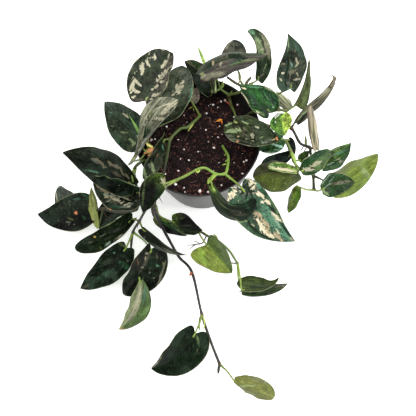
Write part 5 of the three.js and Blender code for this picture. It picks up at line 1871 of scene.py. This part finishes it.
RIGHT = Vine("right", 1.7, [
    (59, 17, 92), (60, 17, 104), (64, 14, 117), (68, 9, 132), (75, 5, 139), (84, -1, 140), (97, -3, 138),
    (111, -5, 134), (120, -22, 126), (131, -27, 121), (132, -33, 117), (134, -46, 110), (133, -58, 105),
    (132, -74, 99),
], [
    Leaf([(97, -3, 138), (99, 4, 148)], (100, 4, 160), (98, -27, 172), 27, 15, (1, 2), 2, -20, (5, 30), 0.8,
        0.15, Look(upper=(119, 139, 57), right_half=(70, 101, 42), silver=(0.0, 0.0), margin=0.1, mottle=0.25,
        marks=(
        (-0.04, 6, 6.5, 3, 60, (192, 196, 184)), (0.31, 8, 3, 1, -25, (192, 196, 184)),
        (0.09, 0, 6.5, 2, 20, YOUNG, 0.8), (0.34, 11, 11, 2, -20, (44, 88, 36), 0.7),
        (0.56, 8, 7, 1.5, -55, (96, 128, 48), 0.6),
    ))),
    Leaf([(131, -27, 121)], (138, -33, 128), (133, 9, 162), 32, 170, (-2, -1), 1, 10, (150, 150), 0.5, 0.05,
        Look(under=(126, 119, 101), right_under=(171, 156, 132), margin=0.1, streaks=1.0, marked_below=True,
        marks=(
        (0.38, 0, 19, 0.5, -5, OLIVE, 0.9), (0.41, 3, 26.5, 1.5, -5, CREAM, 0.7),
        (0.37, 6, 16, 1, -5, GREY, 0.8), (0.28, -6, 14, 2, -20, SILVER, 0.6),
    ))),
    Leaf([(111, -5, 134)], (118, 4, 136), (171, 53, 140), 28, 133, (-7, 11), -1, 5, (123, 159), 0.55, 0,
        Look(under=(56, 55, 40), margin=0.1, streaks=1.0, marked_below=True, marks=(
        (0.12, -3, 10.5, 0.5, -5, MOSS), (0.11, -5, 9.5, 2.5, -10, DARK, 0.9),
        (0.11, 1, 9, 1.5, -5, DARK, 0.9), (0.65, 2, 16.5, 1, -10, SHADE, 0.9),
        (0.5, 3, 16.5, 3, 40, BARK, 0.8), (0.66, -2, 13, 2, 0, SILVER, 0.8),
        (0.87, -2, 5.5, 2, 5, OLIVE, 0.7),
    ))),
    Leaf([(134, -46, 110)], (144, -52, 112), (185, -21, 104), 33, -40, (-6, 0), 1, 5, (20, 15), 0.95, 0.05,
        Look(upper=(50, 73, 31), right_half=(23, 54, 9), silver=(0.42, 0.42), mottle=1.0, sheen=0.5, marks=(
        (0.64, -9, 7, 1, 25, MOSS), (0.63, -1, 8.5, 1.5, 30, TEAL), (0.45, 3, 4, 2, 25, MOSS),
        (0.25, 1, 5.5, 2, 15, MINT), (0.43, 9, 3.5, 1, -75, SILVER), (0.9, -3, 5, 0.5, 35, MOSS, 0.8),
        (0.42, -7, 6, 1.5, 10, GREY),
    ))),
    Leaf([(133, -58, 105), (143, -65, 106)], (151, -74, 104), (220, -32, 84), 50, 135, (-2, -4), 0, 10,
        (25, 15), 0.8, -0.05, Look(under=(84, 98, 38), right_under=(97, 109, 39), margin=0.1, streaks=0.3,
        marked_below=True, marks=(
        (0.11, -11, 15.5, 5.5, -10, OLIVE, 0.7), (0.57, -12, 10, 4.5, 80, MOSS, 0.5),
        (0.61, 5, 12, 7, -65, (96, 112, 60), 0.4), (0.96, -1, 3, 1, 65, OLIVE, 0.9),
    ))),
    Leaf([(132, -74, 99), (136, -78, 106)], (140, -79, 116), (180, -73, 108), 33, 15, (-9, 4), -2, 10,
        (30, 20), 0.9, -0.15, Look(upper=(26, 46, 18), right_half=(13, 38, 7), silver=(0.14, 0.14),
        margin=0.3, mottle=0.8, stalk=(120, 140, 62), marks=(
        (0.56, -2, 14, 2.5, 0, TAN, 0.8), (0.13, -12, 10, 1.5, -35, MINT),
        (0.32, -8, 5.5, 1, -40, (92, 120, 100)), (0.03, 5, 7, 3, 60, MOSS), (0.2, -2, 6, 1, -25, MINT),
        (0.54, -13, 9.5, 2, 20, (36, 72, 40), 0.6),
    ))),
    Leaf([(132, -74, 99), (124, -74, 102)], (114, -71, 107), (99, -95, 84), 20, 22, (-5, 0), -2, 20, (55, 35),
        0.75, 0.05, Look(upper=(81, 94, 44), silver=(0.0, 0.0), stalk=(140, 160, 70), marks=(
        (0.45, 8, 14, 1.5, -10, GREY, 0.9), (0.24, 3, 12.5, 2, 5, YOUNG, 0.9),
        (0.35, -2, 11.5, 3, -10, (68, 104, 28), 0.8), (0.89, 1, 3.5, 1.5, 5, (96, 128, 48), 0.8),
    ))),
], tints=((0.0, (48, 40, 28)), (0.45, (36, 34, 24)), (0.75, (34, 36, 24)), (1.0, (50, 60, 32))),
    stalks=((44, 50, 30), (84, 100, 52)), sprigs=(
    Sprig([(127, -25, 121), (127, -20, 126), (127, -16, 131)], (1.6, 1.7, 0.9), (126, 132, 82), 0.5),
    Sprig([(125, -24, 122), (122, -27, 118), (119, -29, 116)], (0.8, 0.7, 0.2), (46, 38, 28)),
    Sprig([(128, -26, 120), (124, -31, 117), (123, -34, 115)], (0.8, 0.6, 0.2), (46, 38, 28)),
    Sprig([(134, -46, 110), (130, -50, 108), (127, -51, 105)], (0.9, 0.7, 0.2), (60, 56, 34)),
    Sprig([(84, -1, 140), (80, -3, 143), (77, -2, 145)], (1.5, 1.2, 0.4), (168, 96, 62), 0.8),
    Sprig([(164, 40, 140), (169, 47, 141), (169, 52, 142), (166, 56, 142)], (2.4, 2.0, 1.1, 0.3),
        (84, 74, 50), 0.5),
))
LOWER_RIGHT = Vine("lower_right", 1.7, [
    (59, -4, 92), (60, -5, 104), (66, -10, 118), (73, -17, 137), (86, -18, 137), (101, -20, 135),
    (107, -33, 131), (109, -44, 129), (113, -54, 128),
], [
    Leaf([(113, -54, 128)], (116, -59, 132), (154, -33, 122), 27, 0, (-6, 5), 0, 20, (30, 25), 0.75, 0.15,
        Look(upper=(20, 47, 20), right_half=(52, 68, 37), mottle=0.8, sheen=0.6, stalk=(130, 156, 70), marks=(
        (0.36, -11, 8, 0.5, 5, PALE_EDGE), (0.18, 4, 9.5, 3, 50, CREAM), (0.45, 4, 9, 2.5, 10, PALE_EDGE),
        (0.12, 10, 10, 2, 45, PINE), (0.86, -4, 8, 0.5, 30, OLIVE, 0.6),
    ))),
    Leaf([(113, -54, 128)], (108, -61, 138), (76, -54, 148), 15, 20, (0, 0), 0, 15, (70, 25), 0.45, 0.1,
        Look(upper=(86, 105, 56), under=(176, 186, 120), silver=(0.0, 0.0), margin=0.5, stalk=(130, 156, 70),
        marks=(
        (0.37, 0, 16, 2.5, -5, IVORY), (0.83, 0, 5, 1, 5, CREAM), (0.37, 4, 8.5, 1, 5, (68, 100, 32)),
        (0.63, 7, 5.5, 0.5, -15, (136, 156, 88)), (0.61, 5, 8.5, 1, -20, (52, 88, 36)),
        (0.16, 3, 7.5, 0.5, 5, YOUNG),
    ))),
    Leaf([(113, -54, 128)], (112, -59, 128), (58, -62, 140), 45, -170, (-7, -11), -1, 15, (55, 10), 0.5, 0.1,
        Look(under=(40, 42, 22), right_under=(54, 63, 19), margin=0.05, streaks=0.1, marked_below=True,
        marks=(
        (0.58, 19, 1.5, 1.5, 0, (120, 120, 68)), (0.13, 0, 12.5, 4.5, -25, BARK, 0.6),
        (0.83, 12, 12.5, 2.5, -45, BARK, 0.5), (0.74, -12, 6.5, 3, -65, BARK, 0.5),
    ))),
    Leaf([(101, -20, 135)], (98, -19, 140), (69, -28, 136), 26, -30, (6, 6), 1, 0, (10, 25), 0.7, 0.1,
        Look(upper=(25, 50, 23), silver=(0.16, 0.1), margin=0.3, mottle=0.7, sheen=0.8, marks=(
        (0.29, -4, 8, 1.5, 45, (132, 164, 148)), (0.66, -8, 7, 0.5, 25, MINT), (0.35, -9, 6.5, 1, 30, TEAL),
        (0.08, 4, 9, 2.5, 65, PINE, 0.6), (0.82, 0, 6.5, 1.5, 45, PINE, 0.6),
    ))),
    # painted shade: the next two small leaves lie in deep shade and are given near-black and dark shades
    Leaf([(101, -20, 135)], (106, -18, 132), (111, -36, 124), 13, -20, (-1, 0), 0, 5, (30, 20), 0.75, 0,
        Look(upper=(3, 9, 5), silver=(0.0, 0.0))),
    Leaf([(107, -33, 131)], (107, -34, 121), (72, -47, 119), 20, 40, (-7, 4), 0, 5, (-10, 20), 0.4, 0.3,
        Look(upper=(22, 30, 27), silver=(0.0, 0.0), mottle=0.3)),
    Leaf([(109, -44, 129)], (117, -43, 124), (130, -31, 120), 12, 0, (-2, 2), 0, 5, (25, 25), 0.95, 0,
        Look(upper=(30, 49, 7), silver=(0.0, 0.0))),
], tints=((0.0, (60, 68, 36)), (0.5, (66, 80, 40)), (1.0, (108, 132, 60))), stalks=((104, 128, 56),
    (124, 148, 68)), sprigs=(
    Sprig([(107, -33, 131), (109, -42, 133), (111, -52, 131)], (2.0, 2.4, 0.8), (124, 150, 66), 0.5),
))
BACK_RIGHT = Vine("back_right", 1.7, [
    (55, 28, 92), (56, 27, 104), (61, 24, 118), (66, 21, 132), (75, 19, 140), (89, 17, 140), (99, 18, 139),
    (108, 16, 138),
], [
    Leaf([(108, 16, 138)], (120, 22, 138), (146, 87, 130), 22, 140, (7, 7), -1, 20, (15, 90), 0.95, -0.1,
        Look(under=(46, 51, 24), margin=0.1, streaks=0.3, marked_below=True, marks=(
        (0.95, -1, 3.5, 0.5, 10, CREAM, 0.9), (0.34, 5, 8, 2, 0, SILVER, 0.8),
        (0.25, -4, 19.5, 4, 15, OLIVE, 0.7), (0.52, -5, 18.5, 1.5, 15, OLIVE, 0.6),
    )), rise=0.1),
    Leaf([(89, 17, 140), (97, 33, 146)], (113, 35, 160), (121, 112, 150), 39, -25, (2, -11), 8, 10, (25, 15),
        1.05, 0, Look(upper=(26, 32, 25), right_half=(44, 51, 40), margin=0.3, mottle=0.8, sheen=0.8, marks=(
        (0.24, -12, 2, 2, 0, CREAM), (0.42, -13, 2.5, 2.5, 0, TAN), (0.11, -13, 3, 1, -45, PALE_EDGE),
        (0.48, 3, 4.5, 1.5, -10, CREAM), (0.39, 4, 4.5, 2, 45, PALE_EDGE), (0.2, 7, 4.5, 1, -35, PALE_EDGE),
        (0.12, 7, 5.5, 1.5, -80, CREAM), (-0.01, 1, 4.5, 1, 90, (96, 128, 104)),
        (0.41, -3, 4.5, 1, -10, (120, 144, 140), 0.8), (0.83, -4, 12.5, 1, 15, MOSS, 0.8),
        (0.28, -1, 6.5, 3, 65, TAN, 0.7), (0.06, 0, 7, 3, -80, GREY, 0.6),
        (0.64, 8, 19, 4, -20, (44, 68, 56), 0.7), (0.36, -18, 7.5, 1, 10, TEAL, 0.8),
        (0.24, 18, 10, 1.5, 0, DARK, 0.8), (0.67, 2, 3, 1, 0, TAN), (0.6, -10, 7.5, 1, 20, PINE, 0.7),
        (0.44, -7, 11.5, 1, 0, DARK), (0.25, -8, 10.5, 1, 0, DARK), (0.05, -6, 5, 1, -25, DARK),
        (0.34, -4, 17, 0.5, -5, TAN, 0.8),
    ))),
    Leaf([(89, 17, 140)], (86, 15, 146), (54, 45, 160), 37, 15, (4, 2), 1, 0, (25, 15), 1, 0.15,
        Look(upper=(3, 30, 3), right_half=(14, 51, 12), silver=(0.0, 0.0), margin=0.5, mottle=1.0, sheen=0.1,
        marks=(
        (0.67, -9, 9, 0.5, 25, PALE_EDGE), (0.86, 1, 3.5, 1, -20, IVORY), (0.66, 10, 9.5, 1, -35, TEAL),
        (0.19, 13, 14, 4.5, -5, PINE, 0.7), (0.01, 8, 3.5, 1, 25, MINT),
        (0.27, -12, 8.5, 1, -20, (72, 108, 52), 0.8), (0.12, -10, 6, 2.5, -25, OLIVE, 0.7),
        (0.49, -3, 9, 4, 30, PINE, 0.6), (0.36, 19, 7, 0.5, -15, SILVER, 0.8),
        (0.21, -13, 2.5, 1, -25, CREAM),
    ))),
    Leaf([(99, 18, 139), (99, 36, 132)], (100, 44, 128), (115, 21, 132), 20, 180, (2, 1), 1, 5, (90, 50),
        0.65, -0.1, Look(under=(137, 140, 111), margin=0.1, streaks=1.0)),
], tints=((0.0, (50, 46, 30)), (0.5, (56, 62, 34)), (1.0, (74, 90, 44))), stalks=((64, 80, 40),
    (104, 126, 60)))
BACK = Vine("back", 1.8, [
    (46, 41, 92), (45, 43, 108), (43, 50, 116), (43, 51, 123), (54, 48, 134), (63, 51, 139), (70, 55, 140),
], [
    Leaf([(43, 51, 123), (33, 57, 131), (30, 63, 142), (19, 64, 156)], (11, 61, 166), (91, 81, 158), 47, 170,
        (-25, -6), 3, 15, (75, 55), 0.85, 0.2, Look(upper=(50, 54, 44), under=(65, 59, 56),
        right_under=(45, 49, 36), streaks=0.55, marked_below=True, marks=(
        (0.55, 5, 12.5, 5.5, -30, DARK), (0.61, 15, 10.5, 2, -35, TEAL), (0.14, 8, 9, 5.5, 85, DARK, 0.9),
        (0.2, 6, 4.5, 1.5, 80, BLUSH), (0.29, 0, 4, 1.5, 45, SILVER), (0.54, -3, 11, 2, 5, PINE, 0.8),
        (0.32, 20, 13, 4.5, -10, BARK, 0.8), (0.14, -9, 14, 4.5, -15, SILVER, 0.8),
        (0.01, -4, 9, 4, -80, SILVER, 0.8), (0.64, -4, 26, 2, 5, OLIVE, 0.6),
        (0.6, -14, 14.5, 1.5, 15, GREY, 0.6), (0.27, -4, 7.5, 1, -10, TAN, 0.8), (0.45, 13, 9, 1, 70, TAN),
        (0.52, 3, 8.5, 3, -25, DARK),
    ))),
    Leaf([(33, 57, 131)], (23, 52, 134), (-7, 93, 142), 36, -35, (-12, -5), 5, 5, (70, 20), 0.8, 0.1,
        Look(upper=(9, 16, 4), right_half=(75, 76, 56), mottle=0.8, marks=(
        (0.77, 5, 7.5, 4, 10, PINE, 0.7), (0.69, 5, 7.5, 2.5, 40, (36, 80, 40), 0.5),
    ))),
    Leaf([(30, 63, 142), (22, 71, 152)], (18, 77, 156), (10, 100, 168), 6, -125, (-1, -1), 0, 10, (120, 120),
        0.85, -0.05, Look(upper=(132, 156, 84), under=(128, 152, 80), silver=(0.0, 0.0))),
    Leaf([(63, 51, 139), (57, 62, 140), (57, 71, 140)], (53, 87, 140), (55, 119, 134), 31, -10, (5, 7), 3, -5,
        (-10, 40), 1, -0.05, Look(upper=(51, 49, 41), right_half=(20, 24, 18), silver=(0.0, 0.0), streaks=0.3,
        marks=(
        (0.69, -7, 10, 1.5, 35, TAN, 0.8), (0.35, 8, 8, 2.5, 85, BARK, 0.7),
        (0.68, 2, 8, 3.5, -70, GREY, 0.5),
    ))),
    Leaf([(70, 55, 140)], (80, 65, 128), (74, 125, 140), 27, 25, (-1, 16), 8, 20, (35, 60), 0.45, 0.2,
        Look(upper=(33, 44, 27), under=(98, 99, 69), silver=(0.16, 0.16), margin=0.3, mottle=0.8, streaks=0.4,
        marks=(
        (0.62, 2, 13.5, 5, -5, MOSS, 0.8), (0.62, 12, 14.5, 4, 0, SILVER, 0.8),
        (0.74, -3, 14, 1.5, 30, PINE, 0.9), (0.94, 3, 4.5, 3, -10, (88, 128, 96), 0.8),
        (0.23, 7, 5.5, 1, 20, MOSS), (0.09, 4, 3, 1.5, 40, TAN), (0.47, 7, 3.5, 1, 70, SILVER),
        (0.57, 5, 2, 1, 80, CREAM), (0.19, -1, 16, 4.5, -25, DARK, 0.8), (0.26, 10, 8.5, 2.5, -10, PINE, 0.7),
    ))),
    Leaf([(45, 43, 108), (47, 21, 130)], (44, 5, 150), (92, -28, 158), 44, -30, (4, 2), 3, -5, (-10, 20),
        0.75, 0.15, Look(upper=(30, 36, 18), margin=0.4, mottle=0.9, marks=(
        (-0.06, 7, 5, 2, -60, MOSS), (0.11, 12, 7.5, 3.5, -35, MOSS), (0.11, 20, 5.5, 1.5, -15, GREY),
        (0.27, 17, 1.5, 1.5, 0, BLUSH), (0.32, 23, 1.5, 1.5, 0, RUST), (0.18, -5, 6, 1.5, 0, MOSS),
        (0.29, 4, 3.5, 1, 25, TAN), (0.5, 8, 4.5, 2, 55, SILVER), (0.56, 14, 2.5, 1, -20, SILVER),
        (0.48, -6, 3.5, 1.5, 10, PALE_EDGE), (0.66, 5, 2.5, 1, -55, MOSS), (0.73, 11, 3, 1, 45, MINT),
        (0.8, 7, 7, 2.5, -60, GREY, 0.7), (0.89, 1, 2.5, 1, -50, BLUSH), (0.94, -2, 2.5, 1.5, 50, RUST),
        (-0.08, 1, 8, 2.5, -70, SHADE, 0.8), (0.56, 4, 15.5, 5, 35, SHADE, 0.5),
        (0.26, 9, 14.5, 4, 20, BARK, 0.5), (0.4, 20, 20, 1, -10, GREY, 0.7),
    ))),
], tints=((0.0, (96, 66, 42)), (0.35, (78, 88, 44)), (1.0, (72, 86, 44))), stalks=((86, 102, 50),
    (118, 134, 74)), sprigs=(
    Sprig([(43, 50, 117), (44, 52, 122), (47, 54, 128)], (1.6, 1.9, 0.4), (126, 154, 66), 0.7),
    Sprig([(45, 43, 108), (40, 47, 111), (36, 50, 112)], (1.3, 1.0, 0.3), (150, 74, 46)),
    Sprig([(33, 57, 131), (36, 60, 134), (36, 64, 139)], (1.8, 1.9, 0.6), (120, 140, 70), 0.5),
    Sprig([(63, 51, 139), (54, 54, 145), (48, 57, 149), (42, 61, 153)], (1.9, 1.7, 1.7, 1.6), (48, 42, 24)),
    Sprig([(54, 54, 145), (57, 58, 147), (58, 62, 148), (57, 67, 151)], (0.9, 0.9, 0.9, 0.8), (112, 112, 60)),
    Sprig([(63, 51, 139), (65, 58, 138), (71, 65, 136)], (1.9, 1.9, 1.7), (60, 62, 32)),
))
VINES = (FRONT, TRAILING, HANGING, LEFT, UPPER_LEFT, RIGHT, LOWER_RIGHT, BACK_RIGHT, BACK)


def main() -> None:
    """Loads the frame, builds the pot, the soil and the vines over it, and sets the studio up."""
    logging.basicConfig(level=logging.INFO, format="%(name)s: %(message)s")
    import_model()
    Studio().build()
    Pot().build()
    Soil().build()
    shared = SharedPatterns.build()
    upper = BladeSide("leaf_upper", roughness=0.36, specular=0.08, furrow=0.2, rib=1.7, rib_share=0.3)
    under = BladeSide("leaf_under", 0.5, specular=0.1, furrow=0.12, rib=1.25, rib_share=0.4, contrast=0.4)
    materials = [upper.material(shared), under.material(shared), StemSkin().material()]
    seed = 1
    for vine in VINES:
        vine.build(materials, seed)
        seed += len(vine.leaves)


if __name__ == "__main__":
    main()
